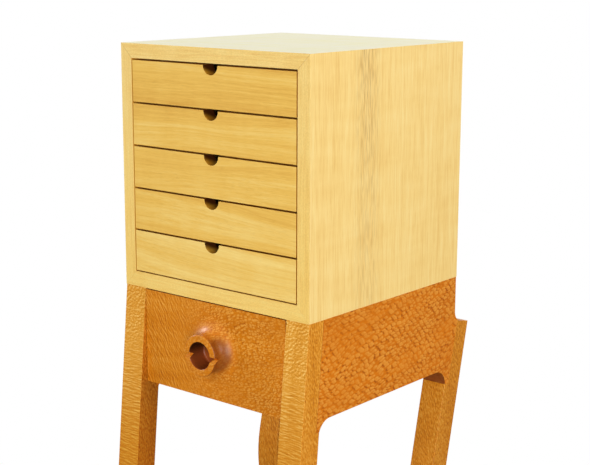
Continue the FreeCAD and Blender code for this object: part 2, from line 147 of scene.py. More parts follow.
@dataclass(frozen=True)
class Grain:
    """One board's own piece of timber.

    Attributes:
        run: How the grain lies.
        seed: Number that sets this board apart from others of its kind.
        tilt: Slope of the grain on the wide face, in degrees.
        pale: How far the board is lighter than others of its kind.
        vein: Place across the board of a streak of dark pores, in metres, or None.
    """

    run: Run
    seed: int = 0
    tilt: float = 0.0
    pale: float = 0.0
    vein: Optional[float] = None


@dataclass(frozen=True)
class Noise:
    """A layer of soft noise around 0.5.

    Attributes:
        waves: Waves per metre along the grain, across and through.
        detail: Octaves of finer noise.
        rough: Strength of the finer noise.
    """

    waves: Triple
    detail: float = 1.0
    rough: float = 0.5


class Graph:
    """Node tree of one material.

    Attributes:
        SEED_STEP: How far apart two boards of neighbouring seeds lie in the timber, in metres.
        MEAN: Mean of the noise.
        PUSH: Pushes of the full reach for each step of the noise.
        CORNERED: Exponent of the cells' distance, which makes them more square than round.
    """

    SEED_STEP: Triple = (0.377, 0.293, 0.171)
    MEAN: float = 0.5
    PUSH: float = 4.0
    CORNERED: float = 3.5

    def __init__(self, tree: bpy.types.NodeTree) -> None:
        """Start from an empty tree."""
        self.tree = tree
        tree.nodes.clear()

    def node(self, kind: str, settings: Optional[Mapping[str, Any]] = None,
             inputs: Optional[Mapping[Union[str, int], Input]] = None) -> bpy.types.Node:
        """Add a node.

        Args:
            kind: Blender's type of the node.
            settings: Its properties, set first; "stops" are a ramp's places and colours.
            inputs: Values or links of its sockets, by name or number.

        Returns:
            The node.
        """
        made = self.tree.nodes.new(kind)
        for name, setting in (settings or {}).items():
            if name == "stops":
                self._stops(made.color_ramp, setting)
            else:
                setattr(made, name, setting)
        for name, given in (inputs or {}).items():
            given = given.socket if isinstance(given, Value) else given
            if isinstance(given, bpy.types.NodeSocket):
                self.tree.links.new(given, made.inputs[name])
            else:
                made.inputs[name].default_value = given
        return made

    @staticmethod
    def _stops(ramp: bpy.types.ColorRamp, stops: Sequence[tuple[float, RGB]]) -> None:
        """Set a ramp's stops.

        Args:
            ramp: The ramp.
            stops: Places from 0 to 1, each with its colour.
        """
        while len(ramp.elements) < len(stops):
            ramp.elements.new(1.0)
        for element, (place, colour) in zip(ramp.elements, stops):
            element.position = place
            element.color = (*colour, 1.0)

    def place(self) -> bpy.types.NodeSocket:
        """Place of a point on the object."""
        return self.node("ShaderNodeTexCoord").outputs["Object"]

    def part(self, vector: bpy.types.NodeSocket, axis: str) -> Value:
        """One part of a vector."""
        return Value(self, self.node("ShaderNodeSeparateXYZ", None, {0: vector}).outputs[axis])

    def at(self, axis: str) -> Value:
        """Place of a point along an axis."""
        return self.part(self.place(), axis)

    def normal(self, axis: str) -> Value:
        """How far the surface faces along an axis, from -1 to 1."""
        return self.part(self.node("ShaderNodeTexCoord").outputs["Normal"], axis)

    def facing(self, axis: str) -> Value:
        """How far the surface faces along an axis, from 0 to 1, either way."""
        return abs(self.normal(axis))

    def vectors(self, operation: str, first: Input, second: Input) -> bpy.types.NodeSocket:
        """Add a Vector Math node."""
        return self.node("ShaderNodeVectorMath", {"operation": operation}, {0: first, 1: second}).outputs[0]

    def length(self, vector: Input) -> Value:
        """Length of a vector."""
        node = self.node("ShaderNodeVectorMath", {"operation": "LENGTH"}, {0: vector})
        return Value(self, node.outputs["Value"])

    def board(self, grain: Grain) -> bpy.types.NodeSocket:
        """Metres along the grain, across the board and through it.

        Args:
            grain: The board's timber.

        Returns:
            The vector.
        """
        parts = self.node("ShaderNodeSeparateXYZ", None, {0: self.place()})
        turned = self.node("ShaderNodeCombineXYZ", None,
                           {i: parts.outputs[letter] for i, letter in enumerate(grain.run.value)})
        shift = tuple(step * grain.seed for step in self.SEED_STEP)
        mapped = self.node("ShaderNodeMapping", None,
                           {"Vector": turned.outputs[0], "Location": shift,
                            "Rotation": (0.0, 0.0, math.radians(grain.tilt))})
        return mapped.outputs[0]

    def _noise(self, vector: bpy.types.NodeSocket, layer: Noise) -> bpy.types.Node:
        """Add a Noise Texture that is read at places in metres."""
        places = self.vectors("MULTIPLY", vector, layer.waves)
        return self.node("ShaderNodeTexNoise", None, {"Vector": places, "Scale": 1.0, "Detail": layer.detail,
                                                      "Roughness": layer.rough})

    def noise(self, vector: bpy.types.NodeSocket, layer: Noise) -> Value:
        """Soft noise around 0.5."""
        return Value(self, self._noise(vector, layer).outputs[0])

    def swing(self, vector: bpy.types.NodeSocket, layer: Noise) -> Value:
        """Soft noise around 0."""
        return self.noise(vector, layer) - self.MEAN

    def warp(self, vector: bpy.types.NodeSocket, waves: Triple, reach: Triple) -> bpy.types.NodeSocket:
        """Push a pattern's places about.

        Args:
            vector: Places, in metres.
            waves: Waves per metre of the push.
            reach: Largest push on each axis, in metres.

        Returns:
            The pushed places.
        """
        colour = self._noise(vector, Noise(waves)).outputs["Color"]
        push = self.vectors("SUBTRACT", colour, (self.MEAN, self.MEAN, self.MEAN))
        push = self.vectors("MULTIPLY", push, tuple(self.PUSH * side for side in reach))
        return self.vectors("ADD", vector, push)

    def slid(self, vector: bpy.types.NodeSocket, along: Value) -> bpy.types.NodeSocket:
        """Slide a pattern's places along the grain."""
        push = self.node("ShaderNodeCombineXYZ", None, {0: along, 1: 0.0, 2: 0.0})
        return self.vectors("ADD", vector, push.outputs[0])

    def cells(self, vector: bpy.types.NodeSocket, size: Triple, random: float) -> bpy.types.Node:
        """Cells of ray tissue.

        Args:
            vector: Where they are read, in metres.
            size: Mean size of a cell along, across and through, in metres.
            random: How far the cells leave a plain grid.

        Returns:
            The node, which gives the distance from a cell's middle and the cell's colour.
        """
        return self.node("ShaderNodeTexVoronoi", {"feature": "F1", "distance": "MINKOWSKI"},
                         {"Vector": self.vectors("DIVIDE", vector, size), "Scale": 1.0,
                          "Exponent": self.CORNERED, "Randomness": random})

    def mix(self, share: Input, first: Input, second: Input, blend: str = "MIX") -> bpy.types.NodeSocket:
        """Mix two colours.

        Args:
            share: Share of the second colour.
            first: First colour.
            second: Second colour.
            blend: Blender's name of the way to mix.

        Returns:
            The mixed colour.
        """
        colours = [(*c, 1.0) if isinstance(c, tuple) else c for c in (first, second)]
        node = self.node("ShaderNodeMix", {"data_type": "RGBA", "blend_type": blend},
                         {0: share, 6: colours[0], 7: colours[1]})
        return node.outputs[2]

    def tint(self, share: Input, colour: Input, by: Input) -> bpy.types.NodeSocket:
        """Multiply a share of a colour by another colour."""
        return self.mix(share, colour, by, "MULTIPLY")

    def ramp(self, share: Value, *colours: RGB) -> bpy.types.NodeSocket:
        """Colour from a row of colours that are spread evenly from 0 to 1."""
        stops = [(i / (len(colours) - 1), colour) for i, colour in enumerate(colours)]
        return self.node("ShaderNodeValToRGB", {"stops": stops}, {0: share}).outputs[0]

    def surface(self, look: Look, rough: Input, constants: Mapping[str, Any]) -> None:
        """Finish the material.

        Args:
            look: Base colour, height from 0 to 1, and relief in metres.
            rough: Roughness.
            constants: Values of the shader's other sockets.
        """
        colour, height, relief = look
        bump = self.node("ShaderNodeBump", None, {"Height": height, "Distance": relief, "Strength": 1.0})
        shader = self.node("ShaderNodeBsdfPrincipled", None,
                           {"Base Color": colour, "Roughness": rough, "Normal": bump.outputs[0], **constants})
        self.node("ShaderNodeOutputMaterial", None, {"Surface": shader.outputs[0]})


@dataclass(frozen=True)
class Finish:
    """What every finish has.

    Attributes:
        slot: The record's material slot.
        rough: Mean roughness.
        gloss: Strength of the mirror part.
        coat: Weight of the clear coat.
    """

    COAT_ROUGH: ClassVar[float] = 0.25
    ROUGH_SWING: ClassVar[float] = 0.12

    slot: str
    rough: float = 0.5
    gloss: float = 0.3
    coat: float = 0.0

    def pattern(self, graph: Graph, grain: Grain) -> Look:
        """Colour, height and relief of the finish; each finish has its own."""
        raise NotImplementedError

    def roughness(self, graph: Graph, height: Value) -> Value:
        """Roughness over the surface, a little higher on its raised parts."""
        return self.rough + (height - graph.MEAN) * self.ROUGH_SWING

    def shader(self, graph: Graph, grain: Grain) -> None:
        """Build the whole material.

        Args:
            graph: The material's nodes.
            grain: The board's timber.
        """
        look = self.pattern(graph, grain)
        graph.surface(look, self.roughness(graph, look[1]),
                      {"Specular IOR Level": self.gloss, "Coat Weight": self.coat,
                       "Coat Roughness": self.COAT_ROUGH})


@dataclass(frozen=True)
class StraightWood(Finish):
    """Straight-grained timber with growth bands, fine lines, fibres and short dark pores.

    The constants are the layers of the figure, the levels between which a layer shows, and its strengths.

    Attributes:
        dark, ground, light: Colours from latewood to earlywood.
        pore: Colour of the pores.
        bands, lines: Growth bands and fine lines per metre.
        line_ends: Ends of a line per metre of its length.
        band_weight, line_weight, fibre_weight, mottle_weight: Strengths of the parts.
        pore_weight: Strength of the pores.
        wander: How far the lines wander across the board, in metres.
    """

    WANDER_WAVES: ClassVar[Triple] = (2.2, 9.0, 9.0)
    BAND_ENDS: ClassVar[float] = 0.9
    FIBRES: ClassVar[Noise] = Noise((35.0, 900.0, 900.0), 2.0, 0.7)
    MOTTLE: ClassVar[Noise] = Noise((34.0, 8.0, 8.0), 2.0)
    PORES: ClassVar[Noise] = Noise((90.0, 900.0, 900.0))
    PORE_LEVELS: ClassVar[Pair] = (0.54, 0.70)
    CROWDS: ClassVar[Noise] = Noise((1.5, 22.0, 22.0))
    CROWD_LEVELS: ClassVar[Pair] = (0.3, 0.7)
    SPARSE: ClassVar[float] = 0.35
    BASE, RISE, DIP = 0.35, 0.65, 0.35
    RELIEF: ClassVar[float] = 0.00006
    VEIN_SWAY: ClassVar[Noise] = Noise((2.0, 3.0, 3.0), 2.0)
    VEIN_REACH: ClassVar[float] = 0.03
    VEIN_EDGE: ClassVar[Pair] = (0.008, 0.042)
    VEIN_HEIGHTS: ClassVar[Pair] = (0.85, 1.10)
    VEIN_FOOT: ClassVar[float] = 0.55
    STROKES: ClassVar[Noise] = Noise((40.0, 620.0, 620.0))
    STROKE_LEVELS: ClassVar[Pair] = (0.44, 0.66)
    STROKE_WEIGHT: ClassVar[float] = 0.45
    WASH: ClassVar[float] = 0.06

    dark: RGB = BLACK
    ground: RGB = BLACK
    light: RGB = BLACK
    pore: RGB = BLACK
    bands: float = 40.0
    lines: float = 300.0
    line_ends: float = 4.0
    band_weight: float = 1.0
    line_weight: float = 0.7
    fibre_weight: float = 0.5
    mottle_weight: float = 0.4
    pore_weight: float = 0.35
    wander: float = 0.006

    def pattern(self, graph: Graph, grain: Grain) -> Look:
        """Colour, height and relief.

        Args:
            graph: The material's nodes.
            grain: The board's timber.

        Returns:
            Colour, height from 0 to 1, and relief in metres.
        """
        board = graph.warp(graph.board(grain), self.WANDER_WAVES, (0.0, self.wander, self.wander))
        bands = graph.swing(board, Noise((self.BAND_ENDS, self.bands, self.bands), 2.0))
        lines = graph.swing(board, Noise((self.line_ends, self.lines, self.lines), 2.0))
        fibres = graph.noise(board, self.FIBRES)
        shade = (graph.MEAN + grain.pale + bands * self.band_weight + lines * self.line_weight
                 + (fibres - graph.MEAN) * self.fibre_weight
                 + graph.swing(board, self.MOTTLE) * self.mottle_weight)
        colour = graph.ramp(shade, self.dark, self.ground, self.light)
        dashes = graph.noise(board, self.PORES).step(*self.PORE_LEVELS)
        crowd = graph.noise(board, self.CROWDS).step(*self.CROWD_LEVELS)
        share = dashes * self.pore_weight * (self.SPARSE + (1.0 - self.SPARSE) * crowd)
        if grain.vein is not None:
            share = share + self.vein(graph, grain, board)
        return (graph.mix(share, colour, self.pore), self.BASE + self.RISE * fibres - dashes * self.DIP,
                self.RELIEF)

    def vein(self, graph: Graph, grain: Grain, board: bpy.types.NodeSocket) -> Value:
        """Share of dark pores in the board's vein, which is weaker at the foot.

        Args:
            graph: The material's nodes.
            grain: The board's timber.
            board: Places on the board.

        Returns:
            The share.
        """
        sway = graph.swing(board, self.VEIN_SWAY) * self.VEIN_REACH
        away = abs(graph.at(grain.run.value[1]) - grain.vein + sway)
        fade = self.VEIN_FOOT + (1.0 - self.VEIN_FOOT) * graph.at("Z").step(*self.VEIN_HEIGHTS)
        strokes = graph.noise(board, self.STROKES).step(*self.STROKE_LEVELS)
        return (1.0 - away.step(*self.VEIN_EDGE)) * fade * (self.WASH + strokes * self.STROKE_WEIGHT)


@dataclass(frozen=True)
class FrontWood(StraightWood):
    """Timber of the drawer fronts, with painted shade on the edges, where the gaps between drawers are, and
    deepest painted shade in the notch.

    Attributes:
        edge: Colour that the edges are multiplied by next to the face, as painted shade in the gaps.
        hollow: Colour of painted shade that the lower part of the notch is multiplied by.
        notch_deep_shade: Colour of painted shadow that its upper and rear parts are multiplied by.
        face: Place of the front face.
        thick: Thickness of the front.
        top: Height of its top edge.
        notch: Radius of the finger notch.
    """

    FACE: ClassVar[Pair] = (0.70, 0.97)
    EDGE_FADE: ClassVar[Pair] = (0.05, 0.45)
    NOTCH_END: ClassVar[float] = 1.1
    DEPTH_SHADE, HEIGHT_SHADE, STEEP_SHADE = 0.5, 0.6, 0.35
    SHADE_LEVELS: ClassVar[Pair] = (0.20, 1.0)

    edge: RGB = WHITE
    hollow: RGB = WHITE
    notch_deep_shade: RGB = WHITE
    face: float = 0.0
    thick: float = 0.024
    top: float = 0.0
    notch: float = 0.0155

    def pattern(self, graph: Graph, grain: Grain) -> Look:
        """Colour, height and relief.

        Args:
            graph: The material's nodes.
            grain: The board's timber.

        Returns:
            Colour, height from 0 to 1, and relief in metres.
        """
        colour, height, relief = super().pattern(graph, grain)
        # Painted shade: the edges are darkened near the face, where the gaps are, and the notch grows darker
        # towards its top, its rear and its steep sides.
        on_edge = 1.0 - graph.facing("Y").step(*self.FACE)
        into = (graph.at("Y") - self.face).step(0.0, self.thick)
        above = (graph.at("Z") - (self.top - self.notch)).step(0.0, self.notch)
        shade = (into * self.DEPTH_SHADE + above * self.HEIGHT_SHADE
                 + graph.facing("X") * self.STEEP_SHADE).step(*self.SHADE_LEVELS)
        beside = abs(graph.at("X")).step(self.notch, self.NOTCH_END * self.notch)
        edge = graph.mix(into.step(*self.EDGE_FADE), self.edge, WHITE)
        edge = graph.mix(beside, graph.mix(shade, self.hollow, self.notch_deep_shade), edge)
        return graph.tint(on_edge, colour, edge), height, relief


@dataclass(frozen=True)
class CaseWood(StraightWood):
    """Timber of the case: tinted front edges that deepen towards the bottom as painted shade, painted shade
    inside, a painted sheen on top, and glue lines in the mitres.

    Attributes:
        edge, edge_low_shade: Colours that the front edges are multiplied by at the top and at the bottom; the
            lower one is deeper, as painted shade.
        inside_shade: Colour that the faces inside the case are multiplied by, as painted shade.
        speck: Colour of the fine specks on the front edges.
        speck_weight: Share of that colour.
        top_sheen, top_sheen_low: Colours of a painted sheen that the light and the dark grain of the top are
            mixed with.
        top_sheen_share: Share of those colours.
        top_rough, inside_rough: Roughness of the top and inside.
        glue: Colour of the glue lines.
        glue_weight: Share of that colour.
        glue_line: Half the width of a glue line, in metres.
        half: Half the width of the case.
        wall: Thickness of its boards.
        low, high: Heights of its underside and its top.
    """

    FACE: ClassVar[Pair] = (0.6, 0.9)
    INSIDE_DEPTHS: ClassVar[Pair] = (0.010, 0.020)
    TOP_FROM, TOP_TO = 0.5, 0.1
    SPECKS: ClassVar[Noise] = Noise((300.0, 700.0, 700.0))
    SPECK_LEVELS: ClassVar[Pair] = (0.35, 0.65)
    GRAIN_LEVELS: ClassVar[Pair] = (0.13, 0.32)
    GLUE_FOOT: ClassVar[float] = 0.3
    GLUE_SOFT: ClassVar[float] = 2.5
    WALL_END: ClassVar[float] = 1.01

    edge: RGB = WHITE
    edge_low_shade: RGB = WHITE
    inside_shade: RGB = WHITE
    speck: RGB = BLACK
    speck_weight: float = 0.2
    top_sheen: RGB = WHITE
    top_sheen_low: RGB = WHITE
    top_sheen_share: float = 0.0
    top_rough: float = 0.5
    inside_rough: float = 0.6
    glue: RGB = BLACK
    glue_weight: float = 0.3
    glue_line: float = 0.0004
    half: float = 0.0
    wall: float = 0.024
    low: float = 0.0
    high: float = 0.0

    def pattern(self, graph: Graph, grain: Grain) -> Look:
        """Colour, height and relief.

        Args:
            graph: The material's nodes.
            grain: The board's timber.

        Returns:
            Colour, height from 0 to 1, and relief in metres.
        """
        colour, height, relief = super().pattern(graph, grain)
        front = graph.facing("Y").step(*self.FACE)
        rise = graph.at("Z").step(self.low, self.high)
        specks = graph.noise(graph.board(grain), self.SPECKS).step(*self.SPECK_LEVELS)
        # Painted shade: faces inside the case are darkened, and the front edges are tinted more deeply
        # towards the bottom.
        colour = graph.tint(self.inside(graph), colour, self.inside_shade)
        colour = graph.tint(front, colour, graph.mix(rise, self.edge_low_shade, self.edge))
        colour = graph.mix(front * specks * self.speck_weight, colour, self.speck)
        # Painted sheen: the top is mixed with pale colours that stand for the reflection of the white
        # surroundings at a grazing angle.
        light = graph.part(colour, "Z").step(*self.GRAIN_LEVELS)
        top_sheen = graph.mix(light, self.top_sheen_low, self.top_sheen)
        colour = graph.mix(self.up(graph) * self.top_sheen_share, colour, top_sheen)
        line = self.mitres(graph) * front * (self.GLUE_FOOT + (1.0 - self.GLUE_FOOT) * rise)
        return graph.mix(line * self.glue_weight, colour, self.glue), height, relief

    def inward(self, graph: Graph) -> Value:
        """Distance inward from the outer face of the nearer side."""
        return self.half - abs(graph.at("X"))

    def mitres(self, graph: Graph) -> Value:
        """1 on the lines of the four mitres."""
        inward = self.inward(graph)
        z = graph.at("Z")
        away = abs(inward - (self.high - z)).at_most(abs(inward - (z - self.low)))
        line = 1.0 - away.step(self.glue_line, self.GLUE_SOFT * self.glue_line)
        return line * (1.0 - inward.step(self.wall, self.WALL_END * self.wall))

    def inside(self, graph: Graph) -> Value:
        """1 on the faces inside the case."""
        z = graph.at("Z")
        depth = self.inward(graph).at_most(self.high - z).at_most(z - self.low)
        return depth.step(*self.INSIDE_DEPTHS) * (1.0 - graph.facing("Y").step(*self.FACE))

    def up(self, graph: Graph) -> Value:
        """1 on the top of the case."""
        near = graph.at("Z").step(self.high - self.TOP_FROM * self.wall, self.high - self.TOP_TO * self.wall)
        return graph.normal("Z").step(*self.FACE) * near

    def roughness(self, graph: Graph, height: Value) -> Value:
        """Roughness over the surface, higher on the top and inside."""
        rough = super().roughness(graph, height) + self.up(graph) * (self.top_rough - self.rough)
        return rough.at_least(self.inside(graph) * self.inside_rough)


RAY_FIBRES = Noise((45.0, 800.0, 800.0), 2.0, 0.7)


@dataclass(frozen=True)
class Lacewood(Finish):
    """Timber with the large rays of lacewood, which show as flakes on the quarter.

    The constants are the layers of the figure, the levels between which a layer shows, and its strengths.

    Attributes:
        ground: Colour between the flakes.
        flake: Colour of the flakes.
        shade: Colour of the painted shade in the lines beside them, which also deepens the ground along
            fibres and bands.
        glint: Colour of the painted highlight on their lit edges.
        size: Mean size of a flake's cell along the grain, across and through, in metres.
        random: How far the cells leave a plain grid.
        skew: Slide of the rows of flakes along the grain for each metre across.
        fill: Half the width of the smallest and the largest flake, in cells.
        soft: Width of a flake's edge, in cells.
        warp: How far the cells are pushed out of shape, in metres.
        sway: How far the rows bend over the board, in metres.
        lean: Step along, across and through from a flake's painted highlight to its painted shade, in cells.
        end: Colour of the end grain.
        end_faces: How far a surface faces along the grain where end grain starts to show, and is full.
        end_weight: Share of the end grain's colour.
        clear: Strength of the figure where it is weakest.
        crowd_from: Place along the grain from which the flakes get shorter, in metres.
        crowd: How fast they get shorter, for each metre.
        flake_weight, shade_weight, glint_weight: Strengths of the parts.
    """

    SWAY_WAVES: ClassVar[Triple] = (7.0, 7.0, 7.0)
    WARP_WAVES: ClassVar[Triple] = (0.5, 0.5, 0.3)
    BROKEN_WAVES: ClassVar[Triple] = (0.45, 0.45, 0.3)
    BROKEN_LEVELS: ClassVar[Pair] = (0.35, 0.6)
    BANDS: ClassVar[Noise] = Noise((2.0, 30.0, 30.0), 2.0)
    CLEARINGS: ClassVar[Noise] = Noise((9.0, 16.0, 9.0), 2.0)
    CLEAR_LEVELS: ClassVar[Pair] = (0.3, 0.6)
    FIBRE_WEIGHT, BAND_WEIGHT, GROUND_SHADE = 1.1, 0.8, 0.15
    FAINT: ClassVar[float] = 0.45
    RISE: ClassVar[float] = 0.4
    RELIEF: ClassVar[float] = 0.00004

    ground: RGB = BLACK
    flake: RGB = BLACK
    shade: RGB = BLACK
    glint: RGB = BLACK
    size: Triple = (0.012, 0.008, 0.012)
    random: float = 0.8
    skew: float = 0.5
    fill: Pair = (0.3, 0.5)
    soft: float = 0.12
    warp: float = 0.0015
    sway: float = 0.01
    lean: Triple = (0.14, -0.18, 0.0)
    end: RGB = BLACK
    end_faces: Pair = (0.35, 0.8)
    end_weight: float = 0.85
    clear: float = 0.7
    crowd_from: float = 0.0
    crowd: float = 0.0
    flake_weight: float = 0.8
    shade_weight: float = 0.6
    glint_weight: float = 0.3

    def flakes(self, graph: Graph, board: bpy.types.NodeSocket, step: Triple) -> tuple[Value, Value]:
        """Where flakes show.

        Args:
            graph: The material's nodes.
            board: Places on the board.
            step: Step to the side, in cells.

        Returns:
            1 inside a flake and 0 between flakes, and a random number of each flake.
        """
        moved = graph.vectors("ADD", board, tuple(s * side for s, side in zip(step, self.size)))
        cell = graph.cells(moved, self.size, self.random)
        chance = graph.part(cell.outputs["Color"], "X")
        small, large = self.fill
        inside = small + chance * (large - small) - Value(graph, cell.outputs["Distance"])
        return inside.step(-self.soft / 2, self.soft / 2), chance

    def per_cell(self, waves: Triple) -> Triple:
        """Turn waves per cell into waves per metre."""
        return tuple(wave / side for wave, side in zip(waves, self.size))

    def rows(self, graph: Graph, grain: Grain) -> bpy.types.NodeSocket:
        """Places on the board, bent as the rows of flakes are.

        Args:
            graph: The material's nodes.
            grain: The board's timber.

        Returns:
            The places.
        """
        past = (graph.at(grain.run.value[0]) - self.crowd_from).at_least(0.0)
        board = graph.slid(graph.board(grain), past * past * (self.crowd / 2))
        board = graph.warp(board, self.SWAY_WAVES, (self.sway, self.sway, 0.0))
        board = graph.warp(board, self.per_cell(self.WARP_WAVES), (self.warp, self.warp, 0.0))
        return graph.slid(board, graph.part(board, "Y") * self.skew)

    def pattern(self, graph: Graph, grain: Grain) -> Look:
        """Colour, height and relief.

        Args:
            graph: The material's nodes.
            grain: The board's timber.

        Returns:
            Colour, height from 0 to 1, and relief in metres.
        """
        straight = graph.board(grain)
        rows = self.rows(graph, grain)
        flakes, chance = self.flakes(graph, rows, (0.0, 0.0, 0.0))
        beside, _ = self.flakes(graph, rows, self.lean)
        fibres = graph.noise(straight, RAY_FIBRES)
        depth = ((fibres - graph.MEAN) * self.FIBRE_WEIGHT
                 + graph.swing(straight, self.BANDS) * self.BAND_WEIGHT + self.GROUND_SHADE)
        clear = graph.noise(straight, self.CLEARINGS).step(*self.CLEAR_LEVELS)
        clear = self.clear + (1.0 - self.clear) * clear
        colour = graph.mix(depth, self.ground, self.shade)
        strong = self.FAINT + (1.0 - self.FAINT) * chance
        colour = graph.mix(flakes * clear * strong * self.flake_weight, colour, self.flake)
        # Painted shade on one side of each flake and a painted highlight on the other, as if lit from one
        # side.
        broken = graph.noise(rows, Noise(self.per_cell(self.BROKEN_WAVES))).step(*self.BROKEN_LEVELS)
        dark = (beside - flakes).at_least(0.0) * clear * broken
        colour = graph.mix(dark * self.shade_weight, colour, self.shade)
        lit = (flakes - beside).at_least(0.0) * clear
        colour = graph.mix(lit * self.glint_weight, colour, self.glint)
        colour = graph.mix(self.ends(graph, grain) * self.end_weight, colour, self.end)
        return colour, self.RISE * flakes + self.RISE * fibres, self.RELIEF

    def ends(self, graph: Graph, grain: Grain) -> Value:
        """1 on end grain."""
        return graph.facing(grain.run.value[0]).step(*self.end_faces)


@dataclass(frozen=True)
class RippleWood(Finish):
    """Timber whose rays lie in ripples or short flecks.

    Attributes:
        ground: Mean colour.
        glint: Colour of the painted highlight on the lit side of a ripple.
        shade: Colour of the painted shade on its dark side.
        waves: Ripples per metre along the grain, across and through.
        lean: Turn of the ripples on the face, in degrees.
        step: Distance from a ripple's lit side to its dark side along and across, in metres.
        contrast: Strength of the ripples.
        wave: How far the ripples bend, in metres.
    """

    BEND_WAVES: ClassVar[Triple] = (30.0, 30.0, 30.0)
    BANDS: ClassVar[Noise] = Noise((2.0, 35.0, 35.0), 2.0)
    FIBRE_WEIGHT, BAND_WEIGHT = 0.35, 0.5
    RIPPLE_RISE, FIBRE_RISE = 0.6, 0.3
    RELIEF: ClassVar[float] = 0.00005

    ground: RGB = BLACK
    glint: RGB = BLACK
    shade: RGB = BLACK
    waves: Triple = (170.0, 30.0, 60.0)
    lean: float = 0.0
    step: Triple = (0.0015, 0.0, 0.0)
    contrast: float = 2.0
    wave: float = 0.001

    def pattern(self, graph: Graph, grain: Grain) -> Look:
        """Colour, height and relief.

        Args:
            graph: The material's nodes.
            grain: The board's timber.

        Returns:
            Colour, height from 0 to 1, and relief in metres.
        """
        straight = graph.board(grain)
        board = graph.board(Grain(grain.run, grain.seed, self.lean))
        board = graph.warp(board, self.BEND_WAVES, (self.wave, self.wave, 0.0))
        # The ripples are painted highlight and shade: the noise here less the noise a step away; the ramp's
        # ends also carry the fibres and bands.
        here = graph.noise(board, Noise(self.waves))
        there = graph.noise(graph.vectors("ADD", board, self.step), Noise(self.waves))
        fibres = graph.noise(straight, RAY_FIBRES)
        level = (graph.MEAN + grain.pale + (here - there) * self.contrast
                 + (fibres - graph.MEAN) * self.FIBRE_WEIGHT
                 + graph.swing(straight, self.BANDS) * self.BAND_WEIGHT)
        return (graph.ramp(level, self.shade, self.ground, self.glint),
                self.RIPPLE_RISE * here + self.FIBRE_RISE * fibres, self.RELIEF)


@dataclass(frozen=True)
class StrokedLacewood(Lacewood):
    """Lacewood whose flecks draw out into steep strokes on one side of the board.

    Attributes:
        strokes: Finish of that side.
        strokes_to, flecks_from: Places along the grain between which strokes turn into flecks, in metres.
    """

    BORDER: ClassVar[Noise] = Noise((9.0, 9.0, 9.0))
    BORDER_REACH: ClassVar[float] = 0.1

    strokes: RippleWood = RippleWood("stand_front_wood")
    strokes_to: float = -0.10
    flecks_from: float = 0.02

    def pattern(self, graph: Graph, grain: Grain) -> Look:
        """Colour, height and relief.

        Args:
            graph: The material's nodes.
            grain: The board's timber.

        Returns:
            Colour, height from 0 to 1, and relief in metres.
        """
        flecked, flecked_height, relief = super().pattern(graph, grain)
        stroked, stroked_height, _ = self.strokes.pattern(graph, grain)
        border = graph.swing(graph.place(), self.BORDER) * self.BORDER_REACH
        share = (graph.at(grain.run.value[0]) + border).step(self.strokes_to, self.flecks_from)
        colour = graph.mix(share.at_least(self.ends(graph, grain)), stroked, flecked)
        return colour, share * flecked_height + (1.0 - share) * stroked_height, relief


@dataclass(frozen=True)
class PullWood(StrokedLacewood):
    """Lacewood of the pull, with painted shade in the hollow.

    Attributes:
        hollow, hollow_top_shade: Colours of the painted shade in the hollow below its axis and above it.
        hollow_radius: Radius of the hollow, in metres.
        axis: A point of the pull's axis.
    """

    ACROSS: ClassVar[Triple] = (1.0, 0.0, 1.0)
    HOLLOW_END: ClassVar[float] = 1.03
    HOLLOW_SPREAD: ClassVar[float] = 0.6
    HOLLOW_WEIGHT: ClassVar[float] = 0.95

    hollow: RGB = BLACK
    hollow_top_shade: RGB = BLACK
    hollow_radius: float = 0.0226
    axis: Triple = (0.0, 0.0, 0.0)

    def pattern(self, graph: Graph, grain: Grain) -> Look:
        """Colour, height and relief.

        Args:
            graph: The material's nodes.
            grain: The board's timber.

        Returns:
            Colour, height from 0 to 1, and relief in metres.
        """
        colour, height, relief = super().pattern(graph, grain)
        # Painted shade in the hollow: near black above the axis, where the wall is in shadow, and a lit brown
        # below.
        away = graph.vectors("SUBTRACT", graph.place(), self.axis)
        radius = graph.length(graph.vectors("MULTIPLY", away, self.ACROSS))
        inside = 1.0 - radius.step(self.hollow_radius, self.HOLLOW_END * self.hollow_radius)
        spread = self.HOLLOW_SPREAD * self.hollow_radius
        hollow = graph.mix(graph.part(away, "Z").step(-spread, spread), self.hollow, self.hollow_top_shade)
        return graph.mix(inside * self.HOLLOW_WEIGHT, colour, hollow), height, relief


